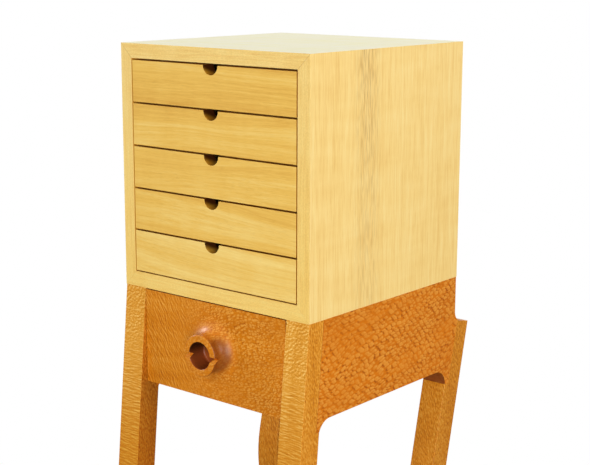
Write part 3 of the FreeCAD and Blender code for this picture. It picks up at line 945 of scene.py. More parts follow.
@dataclass(frozen=True)
class LegWood(Finish):
    """Leg timber: one figure on the front and back faces, and another on the sides, with painted shade
    towards the foot.

    Attributes:
        face: Finish of the front and back faces.
        net: Finish of the upper part of these faces.
        net_low, net_high: Heights between which the one turns into the other, in metres.
        side: Finish of the side faces.
        low_shade: Colour of the painted shade that the lower part is multiplied by.
        shade_low, shade_high: Heights between which that painted shade fades out, in metres.
        side_shade: Share of that painted shade on the side faces.
    """

    FACE: ClassVar[Pair] = (0.5, 0.8)
    BORDER: ClassVar[Noise] = Noise((20.0, 45.0, 45.0), 2.0)
    BORDER_REACH: ClassVar[float] = 0.08

    face: RippleWood = RippleWood("leg_wood")
    net: RippleWood = RippleWood("leg_wood")
    net_low: float = 0.605
    net_high: float = 0.645
    side: RippleWood = RippleWood("leg_wood")
    low_shade: RGB = (0.82, 0.68, 0.30)
    shade_low: float = 0.42
    shade_high: float = 0.64
    side_shade: float = 0.2

    def pattern(self, graph: Graph, grain: Grain) -> Look:
        """Colour, height and relief.

        Args:
            graph: The material's nodes.
            grain: The board's timber.

        Returns:
            Colour, height from 0 to 1, and relief in metres.
        """
        z = graph.at("Z")
        on_face = graph.facing("Y").step(*self.FACE)
        face_colour, face_height, relief = self.face.pattern(graph, grain)
        net_colour, net_height, _ = self.net.pattern(graph, grain)
        side_colour, side_height, _ = self.side.pattern(graph, grain)
        border = graph.swing(graph.board(grain), self.BORDER) * self.BORDER_REACH
        net = (z + border).step(self.net_low, self.net_high)
        face_height = net * net_height + (1.0 - net) * face_height
        colour = graph.mix(on_face, side_colour, graph.mix(net, face_colour, net_colour))
        # Painted shade: the legs grow darker towards the foot.
        low = 1.0 - z.step(self.shade_low, self.shade_high)
        share = low * (self.side_shade + (1.0 - self.side_shade) * on_face)
        height = on_face * face_height + (1.0 - on_face) * side_height
        return graph.tint(share, colour, self.low_shade), height, relief


@dataclass(frozen=True)
class Brass(Finish):
    """Plain brass of the screws, tarnished in spots.

    Attributes:
        bright: Clean colour.
        dull: Tarnished colour.
    """

    ROUGH_SWING: ClassVar[float] = 0.3
    TARNISH: ClassVar[Noise] = Noise((420.0, 420.0, 420.0), 3.0)
    TARNISH_LEVELS: ClassVar[Pair] = (0.4, 0.7)
    RELIEF: ClassVar[float] = 0.00003

    bright: RGB = BLACK
    dull: RGB = BLACK

    def pattern(self, graph: Graph, grain: Grain) -> Look:
        """Colour, height and relief; only the grain's seed is used."""
        tarnish = graph.noise(graph.board(grain), self.TARNISH)
        return graph.mix(tarnish.step(*self.TARNISH_LEVELS), self.bright, self.dull), tarnish, self.RELIEF

    def shader(self, graph: Graph, grain: Grain) -> None:
        """Build the whole material as a metal."""
        look = self.pattern(graph, grain)
        graph.surface(look, self.roughness(graph, look[1]), {"Metallic": 1.0})


# The case's inside and its low front edges carry painted shade, and its top a painted sheen.
CASE_WOOD = CaseWood(
    "case_wood", rough=0.32, gloss=0.3, dark=tone(224, 172, 84), ground=tone(244, 209, 130),
    light=tone(250, 228, 160), pore=tone(168, 116, 54), bands=45, lines=360, line_ends=11.0,
    band_weight=0.36, line_weight=0.75, fibre_weight=0.6, mottle_weight=0.3, pore_weight=0.06,
    wander=0.003, edge=(0.99, 0.98, 0.92), edge_low_shade=(1.0, 0.955, 0.74), inside_shade=(0.85, 0.58, 0.18),
    speck=tone(196, 160, 72), top_sheen=tone(255, 255, 242), top_sheen_low=tone(255, 253, 202), top_sheen_share=0.86,
    glue=tone(120, 84, 40), half=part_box("case_top")[1].x, low=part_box("case_bottom")[0].z,
    high=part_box("case_top")[1].z)
BACK_WOOD = replace(CASE_WOOD, glue_weight=0.0)
# The drawer fronts' edge, hollow and notch colours are painted shade.
DRAWER_WOOD = FrontWood(
    "drawer_front_wood", rough=0.42, gloss=0.3, dark=tone(200, 138, 40), ground=tone(232, 187, 88),
    light=tone(247, 220, 138), pore=tone(150, 100, 40), bands=60, lines=340, band_weight=0.6,
    line_weight=0.4, fibre_weight=0.4, mottle_weight=0.15, pore_weight=0.12, wander=0.012,
    edge=(0.60, 0.34, 0.03), hollow=(0.84, 0.62, 0.22), notch_deep_shade=(0.08, 0.033, 0.02))
BOX_WOOD = StraightWood(
    "drawer_box_wood", rough=0.55, gloss=0.3, dark=tone(204, 166, 110), ground=tone(226, 196, 144),
    light=tone(238, 216, 174), pore=tone(160, 124, 78), bands=40, lines=240, pore_weight=0.15)
RUNNER_WOOD = StraightWood(
    "runner_wood", rough=0.5, gloss=0.3, dark=tone(160, 112, 66), ground=tone(190, 144, 92),
    light=tone(212, 170, 118), pore=tone(110, 72, 40), bands=50, lines=260, pore_weight=0.3)
# The apron's end colour is dark end grain, deepened as painted shade for the cove under the horn.
APRON_WOOD = Lacewood(
    "apron_wood", rough=0.42, gloss=0.2, ground=tone(213, 117, 6), flake=tone(225, 148, 52),
    shade=tone(150, 70, 0), glint=tone(238, 172, 76), end=tone(114, 53, 20),
    size=(0.0128, 0.0060, 0.014), skew=0.6, random=0.60, fill=(0.31, 0.48), soft=0.28, warp=0.0018,
    sway=0.010, lean=(0.26, 0.06, 0.0), clear=0.55, crowd_from=-0.06, crowd=0.6, flake_weight=0.80,
    shade_weight=0.9, glint_weight=0.35)
STAND_STROKES = RippleWood(
    "stand_front_wood", ground=tone(209, 126, 16), glint=tone(234, 168, 70), shade=tone(168, 84, 0),
    waves=(280.0, 85.0, 60.0), lean=-30.0, step=(0.0013, 0.0, 0.0), contrast=1.6, wave=0.0016)
STAND_FLECKS = dict(
    gloss=0.25, ground=tone(208, 122, 10), flake=tone(228, 158, 62), shade=tone(160, 78, 0),
    glint=tone(242, 180, 84), size=(0.0064, 0.0030, 0.006), skew=0.4, random=0.9, fill=(0.28, 0.52),
    soft=0.40, warp=0.0012, sway=0.012, lean=(0.22, -0.24, 0.0), clear=0.5, flake_weight=0.70,
    shade_weight=0.85, glint_weight=0.40, strokes=STAND_STROKES)
STAND_FRONT_WOOD = StrokedLacewood("stand_front_wood", rough=0.38, end=tone(112, 52, 18), **STAND_FLECKS)
# The pull's hollow colours are painted shade.
PULL_WOOD = PullWood(
    "pull_wood", rough=0.42, coat=0.08, end=tone(110, 50, 16), end_faces=(0.25, 0.72), end_weight=0.76,
    hollow=tone(150, 70, 28), hollow_top_shade=tone(26, 8, 2),
    axis=tuple((a + b) / 2 for a, b in zip(*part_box("pull"))), **STAND_FLECKS)
LEG_FACE = RippleWood(
    "leg_wood", ground=tone(218, 150, 48), glint=tone(248, 208, 120), shade=tone(186, 114, 20),
    waves=(300.0, 58.0, 60.0), step=(0.0012, 0.0, 0.0), contrast=1.4, wave=0.0012)
LEG_NET = replace(LEG_FACE, waves=(270.0, 200.0, 200.0), step=(0.0013, -0.0009, 0.0), contrast=1.45)
LEG_SIDE = RippleWood(
    "leg_wood", ground=tone(214, 136, 30), glint=tone(236, 174, 74), shade=tone(166, 92, 12),
    waves=(110.0, 420.0, 420.0), lean=14.0, step=(0.0006, 0.0008, 0.0008), contrast=1.4)
LEG_WOOD = LegWood("leg_wood", rough=0.42, gloss=0.2, face=LEG_FACE, net=LEG_NET, side=LEG_SIDE)
# The left front leg's inner side is a darker copy, painted shade from the drawer and aprons beside it, with
# the full painted shade low down.
LEFT_LEG_SHADED_WOOD = replace(LEG_WOOD, side_shade=1.0, side=replace(
    LEG_SIDE, ground=tone(200, 120, 22), glint=tone(224, 160, 64), shade=tone(152, 80, 8)))
# The rear legs' flecks are a little darker, as painted shade behind the stand, with a paler painted shade low
# down.
REAR_LEG_SHADED_FLECKS = replace(
    LEG_SIDE, ground=tone(208, 130, 26), glint=tone(230, 168, 70), shade=tone(160, 88, 10))
REAR_LEG_WOOD = replace(LEG_WOOD, face=REAR_LEG_SHADED_FLECKS, net=REAR_LEG_SHADED_FLECKS, side=REAR_LEG_SHADED_FLECKS,
                        low_shade=(0.90, 0.86, 0.74), side_shade=1.0)
SCREW_BRASS = Brass("screw_brass", rough=0.35, bright=tone(226, 190, 118), dull=tone(150, 116, 62))


@lru_cache(maxsize=None)
def material(finish: Finish, grain: Grain) -> bpy.types.Material:
    """Make a finish on one board's timber, once.

    Args:
        finish: The finish.
        grain: The board's timber.

    Returns:
        The material.
    """
    made = bpy.data.materials.new(f"{finish.slot}.{grain.run.name.lower()}.{grain.seed}")
    made.use_nodes = True
    finish.shader(Graph(made.node_tree), grain)
    return made


def mesh_data(name: str, mesh: bmesh.types.BMesh) -> bpy.types.Mesh:
    """Turn a mesh that was being shaped into mesh data.

    Args:
        name: Name of the data.
        mesh: The mesh, used up here.

    Returns:
        The data.
    """
    data = bpy.data.meshes.new(name)
    mesh.to_mesh(data)
    mesh.free()
    return data


def add_object(name: str, data: bpy.types.ID) -> bpy.types.Object:
    """Add an object to the scene.

    Args:
        name: Its name.
        data: Its mesh, lamp or camera.

    Returns:
        The object, at the origin.
    """
    made = bpy.data.objects.new(name, data)
    bpy.context.scene.collection.objects.link(made)
    return made


class Assembly:
    """Pieces that ride on one body and are dressed from the frame's nodes.

    Attributes:
        SAME: Distance within which two points are one, in metres.
        FLAT: Angle up to which two faces are one flat.
        CREASE: Angle from which an edge looks sharp.
        EASED: Angle from which an edge is rounded.
        body: Body that the pieces ride on.
        ease: Width of the rounded edges, in metres.
    """

    SAME: ClassVar[float] = 1e-6
    FLAT: ClassVar[float] = math.radians(0.3)
    CREASE: ClassVar[float] = math.radians(17.0)
    EASED: ClassVar[float] = math.radians(25.5)

    body: str
    ease: float

    def copy(self, node: str) -> bmesh.types.BMesh:
        """Merged copy of a node's mesh, with one face for each flat.

        Args:
            node: The node.

        Returns:
            The mesh.
        """
        mesh = bmesh.new()
        mesh.from_mesh(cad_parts[node].data)
        self.merge(mesh)
        return mesh

    def merge(self, mesh: bmesh.types.BMesh) -> None:
        """Merge a mesh's doubles and its flat faces."""
        bmesh.ops.remove_doubles(mesh, verts=mesh.verts, dist=self.SAME)
        bmesh.ops.dissolve_limit(mesh, angle_limit=self.FLAT, verts=mesh.verts, edges=mesh.edges)

    @staticmethod
    def in_order(mesh: bmesh.types.BMesh) -> bmesh.types.BMesh:
        """Build a mesh again in an order that only its places set, so that each run gives the same one.

        Args:
            mesh: The mesh, used up here.

        Returns:
            The mesh in order.
        """
        order = sorted(mesh.verts, key=lambda vert: tuple(vert.co))
        for index, vert in enumerate(order):
            vert.index = index
        rings = []
        for face in mesh.faces:
            ring = [vert.index for vert in face.verts]
            start = ring.index(min(ring))
            rings.append(ring[start:] + ring[:start])
        made = bmesh.new()
        verts = [made.verts.new(vert.co) for vert in order]
        for ring in sorted(rings):
            made.faces.new([verts[index] for index in ring])
        mesh.free()
        return made

    def ease_edges(self, mesh: bmesh.types.BMesh, radius: float) -> None:
        """Round the sharp edges a little, as sandpaper does.

        Args:
            mesh: The mesh.
            radius: Width of the rounding, in metres.
        """
        sharp = [edge for edge in mesh.edges
                 if len(edge.link_faces) == 2 and edge.calc_face_angle() > self.EASED]
        bmesh.ops.bevel(mesh, geom=sharp, offset=radius, offset_type="OFFSET", affect="EDGES", segments=2,
                        profile=0.5, material=-1, clamp_overlap=True)

    def plane_fit(self, mesh: bmesh.types.BMesh, node: str, ends: float = 0.0, top: float = 0.0,
                  bottom: float = 0.0) -> None:
        """Taper the edges of a drawer front, so that its face fits closer than its back.

        Args:
            mesh: The front's mesh.
            node: The front's node.
            ends, top, bottom: How far the face's ends, top and bottom move out, in metres.
        """
        low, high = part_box(node)
        face = [vert for vert in mesh.verts if vert.co.y < low.y + self.SAME]
        moves = (((-ends, 0.0, 0.0), [vert for vert in face if vert.co.x < low.x + self.SAME]),
                 ((ends, 0.0, 0.0), [vert for vert in face if vert.co.x > high.x - self.SAME]),
                 ((0.0, 0.0, top), [vert for vert in face if vert.co.z > high.z - self.SAME]),
                 ((0.0, 0.0, -bottom), [vert for vert in face if vert.co.z < low.z + self.SAME]))
        for way, verts in moves:
            bmesh.ops.translate(mesh, vec=way, verts=verts)

    def piece(self, mesh: bmesh.types.BMesh, node: str, finish: Finish, grain: Grain) -> bpy.types.Object:
        """Make an object of a mesh, in the place of a node.

        Args:
            mesh: The mesh, used up here.
            node: The node that it stands for.
            finish: Its finish.
            grain: Its timber.

        Returns:
            The object.
        """
        for face in mesh.faces:
            face.smooth = True
        data = mesh_data(f"{node}_piece", mesh)
        data.set_sharp_from_angle(angle=self.CREASE)
        data.materials.append(material(finish, grain))
        made = add_object(f"{node}_piece", data)
        shading = made.modifiers.new("flat_faces_stay_flat", "WEIGHTED_NORMAL")
        shading.keep_sharp = True
        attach(made, self.body)
        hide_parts(node)
        LOG.info("%s rides on %s with %d faces", made.name, self.body, len(data.polygons))
        return made

    def board(self, node: str, finish: Finish, grain: Grain, ease: Optional[float] = None) -> None:
        """Dress a node as a board with eased edges.

        Args:
            node: The node.
            finish: Its finish.
            grain: Its timber.
            ease: Width of the rounding, or None for the assembly's own.
        """
        mesh = self.copy(node)
        self.ease_edges(mesh, self.ease if ease is None else ease)
        self.piece(mesh, node, finish, grain)

    def screws(self, node: str, slot: float, depth: float, seed: int) -> None:
        """Dress screws that are driven in from behind: cut the driver's slot into each head.

        Args:
            node: The screws' node.
            slot: Half the width of the slot, in metres.
            depth: Depth of the slot, in metres.
            seed: Number of the brass.
        """
        mesh = self.copy(node)
        outer = max(face.calc_center_median().y for face in mesh.faces)
        heads = [face for face in mesh.faces if face.calc_center_median().y > outer - self.SAME]
        for head in heads:
            middle = head.calc_center_median()
            strip = [head]
            for side in (-1, 1):
                parts = dict.fromkeys(part for face in strip for part in (face, *face.edges, *face.verts))
                cut = bmesh.ops.bisect_plane(mesh, geom=list(parts), dist=self.SAME, plane_no=(side, 0, 0),
                                             plane_co=middle + Vector((side * slot, 0, 0)))
                faces = [part for part in cut["geom"] if isinstance(part, bmesh.types.BMFace)]
                strip = [face for face in faces if (face.calc_center_median().x - middle.x) * side < slot]
            pushed = bmesh.ops.extrude_face_region(mesh, geom=strip)["geom"]
            bmesh.ops.delete(mesh, geom=strip, context="FACES_ONLY")
            bmesh.ops.translate(mesh, vec=BACKWARD * -depth,
                                verts=[part for part in pushed if isinstance(part, bmesh.types.BMVert)])
        self.piece(self.in_order(mesh), node, SCREW_BRASS, Grain(Run.LYING, seed))

    def paint(self, node: str, finish: Finish, grain: Grain) -> None:
        """Give a node that keeps its shape a finish.

        Args:
            node: The node.
            finish: Its finish.
            grain: Its timber.
        """
        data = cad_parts[node].data
        data.materials.clear()
        data.materials.append(material(finish, grain))
        LOG.info("%s keeps its shape", node)


@dataclass
class Case(Assembly):
    """Mitred case with its back panel and runners.

    Attributes:
        vein: Place of the dark streak on the right side, from the front to the back.
        screw_slot: Half the width of the slot in a screw's head.
        screw_slot_depth: Depth of that slot.
    """

    body: str = "cabinet"
    ease: float = 0.0003
    vein: float = -0.051
    screw_slot: float = 0.0005
    screw_slot_depth: float = 0.0008

    def build(self) -> None:
        """Dress every board of the case."""
        self.board("case_top", CASE_WOOD, Grain(Run.LYING, 1))
        self.board("case_bottom", CASE_WOOD, Grain(Run.LYING, 2))
        self.board("case_side_left", CASE_WOOD, Grain(Run.UPRIGHT_SIDE, 3))
        self.board("case_side_right", CASE_WOOD, Grain(Run.UPRIGHT_SIDE, 4, vein=self.vein))
        self.board("case_back", BACK_WOOD, Grain(Run.UPRIGHT_FACE, 5))
        self.screws("back_screws", self.screw_slot, self.screw_slot_depth, 6)
        for seed, hand in enumerate(HANDS):
            self.board(f"runners_{hand}", RUNNER_WOOD, Grain(Run.DEPTHWISE, 7 + seed))
        self.paint("mitre_tongues", RUNNER_WOOD, Grain(Run.DEPTHWISE, 9))


@dataclass
class Drawer(Assembly):
    """What every drawer has."""

    def box(self, seed: int) -> None:
        """Dress the sides, the back and the bottom, with timber from a seed on."""
        for step, hand in enumerate(HANDS):
            self.board(f"{self.body}_side_{hand}", BOX_WOOD, Grain(Run.DEPTHWISE, seed + step))
        self.board(f"{self.body}_back", BOX_WOOD, Grain(Run.CROSSWISE, seed + 2))
        self.board(f"{self.body}_bottom", BOX_WOOD, Grain(Run.LYING, seed + 3))


@dataclass
class CaseDrawer(Drawer):
    """One flush drawer of the case.

    Attributes:
        number: Its place from the top.
        tilt: Slope of the grain of its front, in degrees.
        pale: How far its front is lighter than the others.
        fit_low: How much closer the lower edge of its face is planed to what is below, in metres.
        ease: Width of the rounded edges, in metres.
    """

    number: int
    tilt: float
    pale: float
    fit_low: float = 0.0
    ease: float = 0.0005

    def __post_init__(self) -> None:
        """The drawer rides on the body of its own name."""
        self.body = f"drawer_{self.number}"

    def build(self) -> None:
        """Dress the front and the box."""
        seed = 10 * self.number
        node = f"{self.body}_front"
        low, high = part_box(node)
        mesh = self.copy(node)
        self.plane_fit(mesh, node, bottom=self.fit_low)
        self.ease_edges(mesh, self.ease)
        self.piece(mesh, node, replace(DRAWER_WOOD, face=low.y, thick=high.y - low.y, top=high.z),
                   Grain(Run.CROSSWISE, seed, self.tilt, self.pale))
        self.box(seed + 1)


@dataclass
class Stand(Assembly):
    """Four legs, two horned aprons, and the rails and bearers inside.

    Attributes:
        leg_ease: Width of the rounded edges of the legs, in metres.
        apron_tilt: Slope of the grain of the aprons, in degrees.
        cove_radius: Radius of the cove above a rear leg in the frame, in metres.
        cove_slack: How far a point of the cove may lie off that radius, in metres.
        cove_growth: How many times larger the cove is carved.
    """

    body: str = "cabinet"
    ease: float = 0.0004
    leg_ease: float = 0.0006
    apron_tilt: float = -13.0
    cove_radius: float = 0.010
    cove_slack: float = 5e-5
    cove_growth: float = 2.0

    def carve_cove(self, mesh: bmesh.types.BMesh, node: str) -> None:
        """Carve the cove above the rear leg fuller, about the corner that it rounds.

        Args:
            mesh: The apron's mesh.
            node: The apron's node.
        """
        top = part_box(node)[1].z
        end = max(vert.co.y for vert in mesh.verts if vert.co.z > top - self.SAME)
        start = max(vert.co.z for vert in mesh.verts
                    if abs(vert.co.y - end) < self.SAME and vert.co.z < top - self.cove_radius)
        middle = Vector((0.0, end + self.cove_radius, start))
        cove = []
        for vert in mesh.verts:
            reach = math.hypot(vert.co.y - middle.y, vert.co.z - middle.z)
            if (abs(reach - self.cove_radius) < self.cove_slack and vert.co.y < middle.y
                    and vert.co.z < middle.z + self.SAME):
                cove.append(vert)
        foot = max(cove, key=lambda vert: vert.co.y).co.copy()
        fall = (foot.y - end) * (middle.y - foot.y) / (middle.z - foot.z)
        corner = Vector((0.0, end, foot.z + fall))
        bmesh.ops.scale(mesh, vec=(1.0, self.cove_growth, self.cove_growth),
                        space=Matrix.Translation(-corner),
                        verts=[vert for vert in cove if vert.co.y < foot.y - self.SAME])

    def apron(self, node: str, grain: Grain) -> None:
        """Dress an apron, with a fuller cove above the rear leg.

        Args:
            node: The apron's node.
            grain: Its timber.
        """
        mesh = self.copy(node)
        self.carve_cove(mesh, node)
        self.ease_edges(mesh, self.ease)
        self.piece(mesh, node, APRON_WOOD, grain)

    def build(self) -> None:
        """Dress every piece of the stand."""
        for seed, (hand, wood) in enumerate(zip(HANDS, (LEFT_LEG_SHADED_WOOD, LEG_WOOD))):
            self.board(f"leg_front_{hand}", wood, Grain(Run.UPRIGHT_FACE, 70 + seed), self.leg_ease)
            self.board(f"leg_rear_{hand}", REAR_LEG_WOOD, Grain(Run.UPRIGHT_FACE, 72 + seed), self.leg_ease)
            self.apron(f"apron_{hand}", Grain(Run.DEPTHWISE, 74 + seed, self.apron_tilt))
            self.board(f"bearer_{hand}", RUNNER_WOOD, Grain(Run.DEPTHWISE, 76 + seed))
            self.board(f"kicker_{hand}", RUNNER_WOOD, Grain(Run.DEPTHWISE, 78 + seed))
        self.board("stand_back_rail", APRON_WOOD, Grain(Run.CROSSWISE, 80))
        for seed, node in enumerate(("front_rail_top", "front_rail_bottom")):
            self.board(node, RUNNER_WOOD, Grain(Run.LYING, 81 + seed))
        self.paint("locating_dowels", RUNNER_WOOD, Grain(Run.UPRIGHT_FACE, 83))


@dataclass
class StandDrawer(Drawer):
    """Deep drawer of the stand.

    Attributes:
        grain: Timber of the front, which the pull shares.
        fit: How much closer to the legs the front's face is planed than its back, in metres.
        fit_top: The same at the top.
        screw_slot: Half the width of the slot in the pull's screw.
        screw_slot_depth: Depth of that slot.
    """

    body: str = "stand_drawer"
    ease: float = 0.0005
    grain: Grain = Grain(Run.CROSSWISE, 90, -8.0)
    fit: float = 0.0013
    fit_top: float = 0.00065
    screw_slot: float = 0.0007
    screw_slot_depth: float = 0.001

    def build(self) -> None:
        """Dress the front, the box and the pull."""
        node = f"{self.body}_front"
        mesh = self.copy(node)
        self.plane_fit(mesh, node, ends=self.fit, top=self.fit_top)
        self.ease_edges(mesh, self.ease)
        self.piece(mesh, node, STAND_FRONT_WOOD, self.grain)
        self.box(91)
        Pull(self.body, self.grain).build()
        self.screws("pull_screw", self.screw_slot, self.screw_slot_depth, 95)


@dataclass
class Pull(Assembly):
    """Turned pull: a hollow ring with a notched rim, whose foot runs out into the drawer front.

    Attributes:
        body: Body that it rides on.
        grain: Timber of the drawer front, which runs on in the pull.
        rim_radius: Outer radius of the rim.
        hole_radius: Radius of the hollow.
        waist_radius: Radius where the foot starts to flare.
        waist: Distance of the waist from the drawer front.
        foot_radius: Radius where the flare has run out.
        edge_radius: Rounding of the rim's edges.
        floor_radius: Rounding of the hollow's floor.
        floor: Depth of the hollow's floor behind the drawer front's face.
        spigot_radius: Radius of the spigot in the drawer front.
        bore_radius: Radius of the screw's hole.
        bore_depth: Depth of the screw's hole.
        notch_depth: Depth of the notch.
        notch_rise, notch_fall: How far the notch opens above and below the axis.
        notch_tip: How far its point lies below the axis.
        ease: Width of the rounding of the notch's edges.
        turns: Steps of the turning.
        arc_steps: Steps of each arc of the outline.
    """

    body: str
    grain: Grain
    rim_radius: float = 0.0340
    hole_radius: float = 0.0225
    waist_radius: float = 0.0315
    waist: float = 0.021
    foot_radius: float = 0.056
    edge_radius: float = 0.0015
    floor_radius: float = 0.003
    floor: float = 0.002
    spigot_radius: float = 0.027
    bore_radius: float = 0.0025
    bore_depth: float = 0.008
    notch_depth: float = 0.011
    notch_rise: float = 0.003
    notch_fall: float = 0.0075
    notch_tip: float = 0.0025
    ease: float = 0.0004
    turns: int = 120
    arc_steps: int = 12

    def __post_init__(self) -> None:
        """Read the pull's place from the frame."""
        low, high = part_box("pull")
        self.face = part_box("stand_drawer_front")[0].y
        self.middle = Vector(((low.x + high.x) / 2, self.face, (low.z + high.z) / 2))
        self.reach = self.face - low.y
        self.spigot = high.y - self.face

    def arc(self, middle: Pair, radii: Pair, start: float, end: float) -> list[Pair]:
        """Points of an arc of the outline.

        Args:
            middle: Radius and depth of the arc's middle.
            radii: Half axes along the radius and along the depth.
            start, end: Angles in degrees, from outward towards the back.

        Returns:
            Radius and depth of each point.
        """
        angles = [math.radians(start + (end - start) * step / self.arc_steps)
                  for step in range(self.arc_steps + 1)]
        return [(middle[0] + radii[0] * math.cos(a), middle[1] + radii[1] * math.sin(a)) for a in angles]

    def outline(self) -> list[Pair]:
        """Radius and depth of the outline, from the screw's hole round to the hollow's floor."""
        edge, end = self.edge_radius, self.spigot - self.bore_depth
        points = [(0.0, end), (self.bore_radius, end), (self.bore_radius, self.spigot),
                  (self.spigot_radius, self.spigot), (self.spigot_radius, 0.0)]
        points += self.arc((self.foot_radius, -self.waist),
                           (self.foot_radius - self.waist_radius, self.waist), 90, 180)
        points += self.arc((self.rim_radius - edge, edge - self.reach), (edge, edge), 0, -90)
        points += self.arc((self.hole_radius + edge, edge - self.reach), (edge, edge), -90, -180)
        points += self.arc((self.hole_radius - self.floor_radius, self.floor - self.floor_radius),
                           (self.floor_radius, self.floor_radius), 0, 90)
        return points + [(0.0, self.floor)]

    def build(self) -> None:
        """Turn the pull, saw its notch and ease the edges."""
        mesh = self.sawn(self.turned(), self.wedge())
        self.ease_edges(mesh, self.ease)
        self.piece(mesh, "pull", PULL_WOOD, self.grain)

    def turned(self) -> bmesh.types.BMesh:
        """The pull as it leaves the lathe."""
        mesh = bmesh.new()
        verts = [mesh.verts.new(self.middle + Vector((radius, depth, 0))) for radius, depth in self.outline()]
        edges = [mesh.edges.new(pair) for pair in zip(verts, verts[1:])]
        bmesh.ops.spin(mesh, geom=verts + edges, cent=self.middle, axis=BACKWARD, dvec=(0, 0, 0),
                       angle=math.tau, steps=self.turns, use_merge=True, use_duplicate=False)
        bmesh.ops.remove_doubles(mesh, verts=mesh.verts, dist=self.SAME)
        bmesh.ops.recalc_face_normals(mesh, faces=mesh.faces)
        return mesh

    def wedge(self) -> bmesh.types.BMesh:
        """The wood that the notch takes away, from one side of the rim to the other."""
        steep = (self.notch_depth + self.edge_radius) / self.notch_depth
        mouth = -self.reach - self.edge_radius
        corners = [(mouth, (self.notch_rise + self.notch_tip) * steep - self.notch_tip),
                   (mouth, (self.notch_tip - self.notch_fall) * steep - self.notch_tip),
                   (self.notch_depth - self.reach, -self.notch_tip)]
        mesh = bmesh.new()
        side = [mesh.verts.new(self.middle + Vector((-self.foot_radius, y, z))) for y, z in corners]
        grown = bmesh.ops.extrude_face_region(mesh, geom=[mesh.faces.new(side)])["geom"]
        bmesh.ops.translate(mesh, vec=(2 * self.foot_radius, 0, 0),
                            verts=[part for part in grown if isinstance(part, bmesh.types.BMVert)])
        bmesh.ops.recalc_face_normals(mesh, faces=mesh.faces)
        return self.in_order(mesh)

    def sawn(self, whole: bmesh.types.BMesh, waste: bmesh.types.BMesh) -> bmesh.types.BMesh:
        """Take one mesh away from another.

        Args:
            whole: The mesh that is cut, used up here.
            waste: The mesh that is taken away, used up here.

        Returns:
            What is left.
        """
        blank, saw = (add_object(name, mesh_data(name, mesh))
                      for name, mesh in (("pull_blank", whole), ("pull_waste", waste)))
        cut = blank.modifiers.new("notch", "BOOLEAN")
        cut.operation = "DIFFERENCE"
        cut.solver = "EXACT"
        cut.object = saw
        left = bpy.data.meshes.new_from_object(blank.evaluated_get(bpy.context.evaluated_depsgraph_get()))
        mesh = bmesh.new()
        mesh.from_mesh(left)
        for data in (left, blank.data, saw.data):
            bpy.data.meshes.remove(data)
        mesh = self.in_order(mesh)
        self.merge(mesh)
        return mesh


@dataclass
class Lamp:
    """One soft box.

    Attributes:
        name: Its name.
        place: Where it stands, in metres.
        size: Width and height, in metres.
        power: Its power, in watts.
    """

    name: str
    place: Triple
    size: Pair
    power: float


LAMPS = (Lamp("soft_box_left", (-5.40, -0.95, 3.19), (1.8, 1.8), 172.0),
         Lamp("soft_box_right", (5.50, -0.19, 3.15), (2.4, 2.4), 172.0),
         Lamp("soft_box_front", (2.82, -5.30, 1.00), (5.0, 2.0), 290.0),
         Lamp("soft_box_rear", (-0.30, 5.56, 2.90), (2.4, 2.4), 130.0))


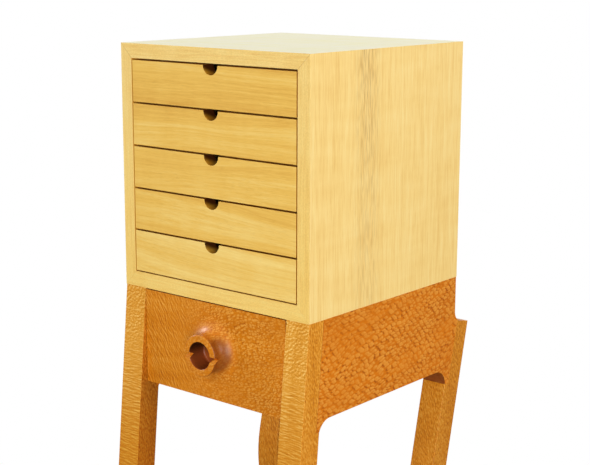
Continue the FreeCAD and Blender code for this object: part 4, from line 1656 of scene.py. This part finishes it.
@dataclass
class Studio:
    """White floor, soft boxes, and the camera of the photograph.

    Attributes:
        camera_place: Where the camera stands.
        camera_target: What it looks at.
        camera_roll: Its roll, in degrees.
        lens: Focal length, in millimetres.
        sensor: Width of the sensor, in millimetres.
        clip: Distance from which the camera sees, in metres.
        aim: Point that the lamps face.
        ambient: Strength of the light from all around.
        floor_half: Half the length of the floor's side.
        floor_colour: Colour of the floor.
        floor_lift: Light that the camera sees on top of the floor's own.
        floor_near, floor_far: Distances between which the floor turns plain white for the camera.
    """

    camera_place: Triple = (1.40887, -1.67729, 1.25893)
    camera_target: Triple = (0.171737, -0.190431, 0.858435)
    camera_roll: float = 0.1586
    lens: float = 80.339
    sensor: float = 36.0
    clip: float = 0.05
    aim: Triple = (0.0, 0.0, 0.75)
    ambient: float = 0.30
    floor_half: float = 12.0
    floor_colour: RGB = (0.2, 0.2, 0.2)
    floor_lift: float = 0.9
    floor_near: float = 0.7
    floor_far: float = 1.1

    def build(self) -> None:
        """Set up the camera, the soft boxes, the light all around and the floor."""
        bpy.context.scene.view_settings.view_transform = "Standard"
        self.camera()
        for lamp in LAMPS:
            self.light(lamp)
        self.world()
        self.floor()

    @staticmethod
    def gaze(place: Triple, target: Triple) -> Quaternion:
        """Turn of a camera or lamp at a place that looks at a target."""
        return (Vector(target) - Vector(place)).to_track_quat("-Z", "Y")

    def camera(self) -> None:
        """Add the camera."""
        data = bpy.data.cameras.new("camera")
        data.sensor_fit = "HORIZONTAL"
        data.sensor_width = self.sensor
        data.lens = self.lens
        data.clip_start = self.clip
        made = add_object("camera", data)
        made.location = self.camera_place
        roll = Quaternion((0, 0, 1), math.radians(self.camera_roll))
        made.rotation_euler = (self.gaze(self.camera_place, self.camera_target) @ roll).to_euler()
        bpy.context.scene.camera = made
        LOG.info("camera at %s", self.camera_place)

    def light(self, lamp: Lamp) -> None:
        """Add one soft box.

        Args:
            lamp: The soft box.
        """
        data = bpy.data.lights.new(lamp.name, "AREA")
        data.shape = "RECTANGLE"
        data.size, data.size_y = lamp.size
        data.energy = lamp.power
        made = add_object(lamp.name, data)
        made.location = lamp.place
        made.rotation_euler = self.gaze(lamp.place, self.aim).to_euler()
        LOG.info("%s at %s", lamp.name, lamp.place)

    def world(self) -> None:
        """Light all around, white for rays from the camera, or off or through a shiny surface."""
        world = bpy.data.worlds.new("white_studio")
        world.use_nodes = True
        graph = Graph(world.node_tree)
        path = graph.node("ShaderNodeLightPath")
        seen, glossy, through = (Value(graph, path.outputs[name]) for name in
                                 ("Is Camera Ray", "Is Glossy Ray", "Is Transmission Ray"))
        strength = self.ambient + seen.at_least(glossy).at_least(through) * (1.0 - self.ambient)
        light = graph.node("ShaderNodeBackground", None, {"Color": (*WHITE, 1), "Strength": strength})
        graph.node("ShaderNodeOutputWorld", None, {"Surface": light.outputs[0]})
        bpy.context.scene.world = world

    def floor(self) -> None:
        """Add the floor, which keeps the shadow near the object and is white further out."""
        mesh = bmesh.new()
        bmesh.ops.create_grid(mesh, x_segments=1, y_segments=1, size=self.floor_half)
        data = mesh_data("floor", mesh)
        paint = bpy.data.materials.new("floor_white")
        paint.use_nodes = True
        graph = Graph(paint.node_tree)
        away = graph.length(graph.vectors("MULTIPLY", graph.place(), (1, 1, 0)))
        far = away.step(self.floor_near, self.floor_far)
        seen = Value(graph, graph.node("ShaderNodeLightPath").outputs["Is Camera Ray"])
        matt = graph.node("ShaderNodeBsdfDiffuse", None, {"Color": (*self.floor_colour, 1)})
        lift, white = (graph.node("ShaderNodeEmission", None, {"Color": (*WHITE, 1), "Strength": strength})
                       for strength in (seen * self.floor_lift, 1.0))
        near = graph.node("ShaderNodeAddShader", None, {0: matt.outputs[0], 1: lift.outputs[0]})
        both = graph.node("ShaderNodeMixShader", None,
                          {0: seen * far, 1: near.outputs[0], 2: white.outputs[0]})
        graph.node("ShaderNodeOutputMaterial", None, {"Surface": both.outputs[0]})
        data.materials.append(paint)
        add_object("floor", data)
        LOG.info("floor laid")


CASE_DRAWERS = (CaseDrawer(1, tilt=1.5, pale=-0.05), CaseDrawer(2, tilt=1.0, pale=-0.02),
                CaseDrawer(3, tilt=-1.0, pale=0.01), CaseDrawer(4, tilt=1.2, pale=0.0),
                CaseDrawer(5, tilt=1.8, pale=0.16, fit_low=0.0009))


def main() -> None:
    """Build the studio and every sub-assembly."""
    logging.basicConfig(level=logging.INFO, format="%(message)s")
    for assembly in (Studio(), Case(), *CASE_DRAWERS, Stand(), StandDrawer()):
        assembly.build()


if __name__ == "__main__":
    main()
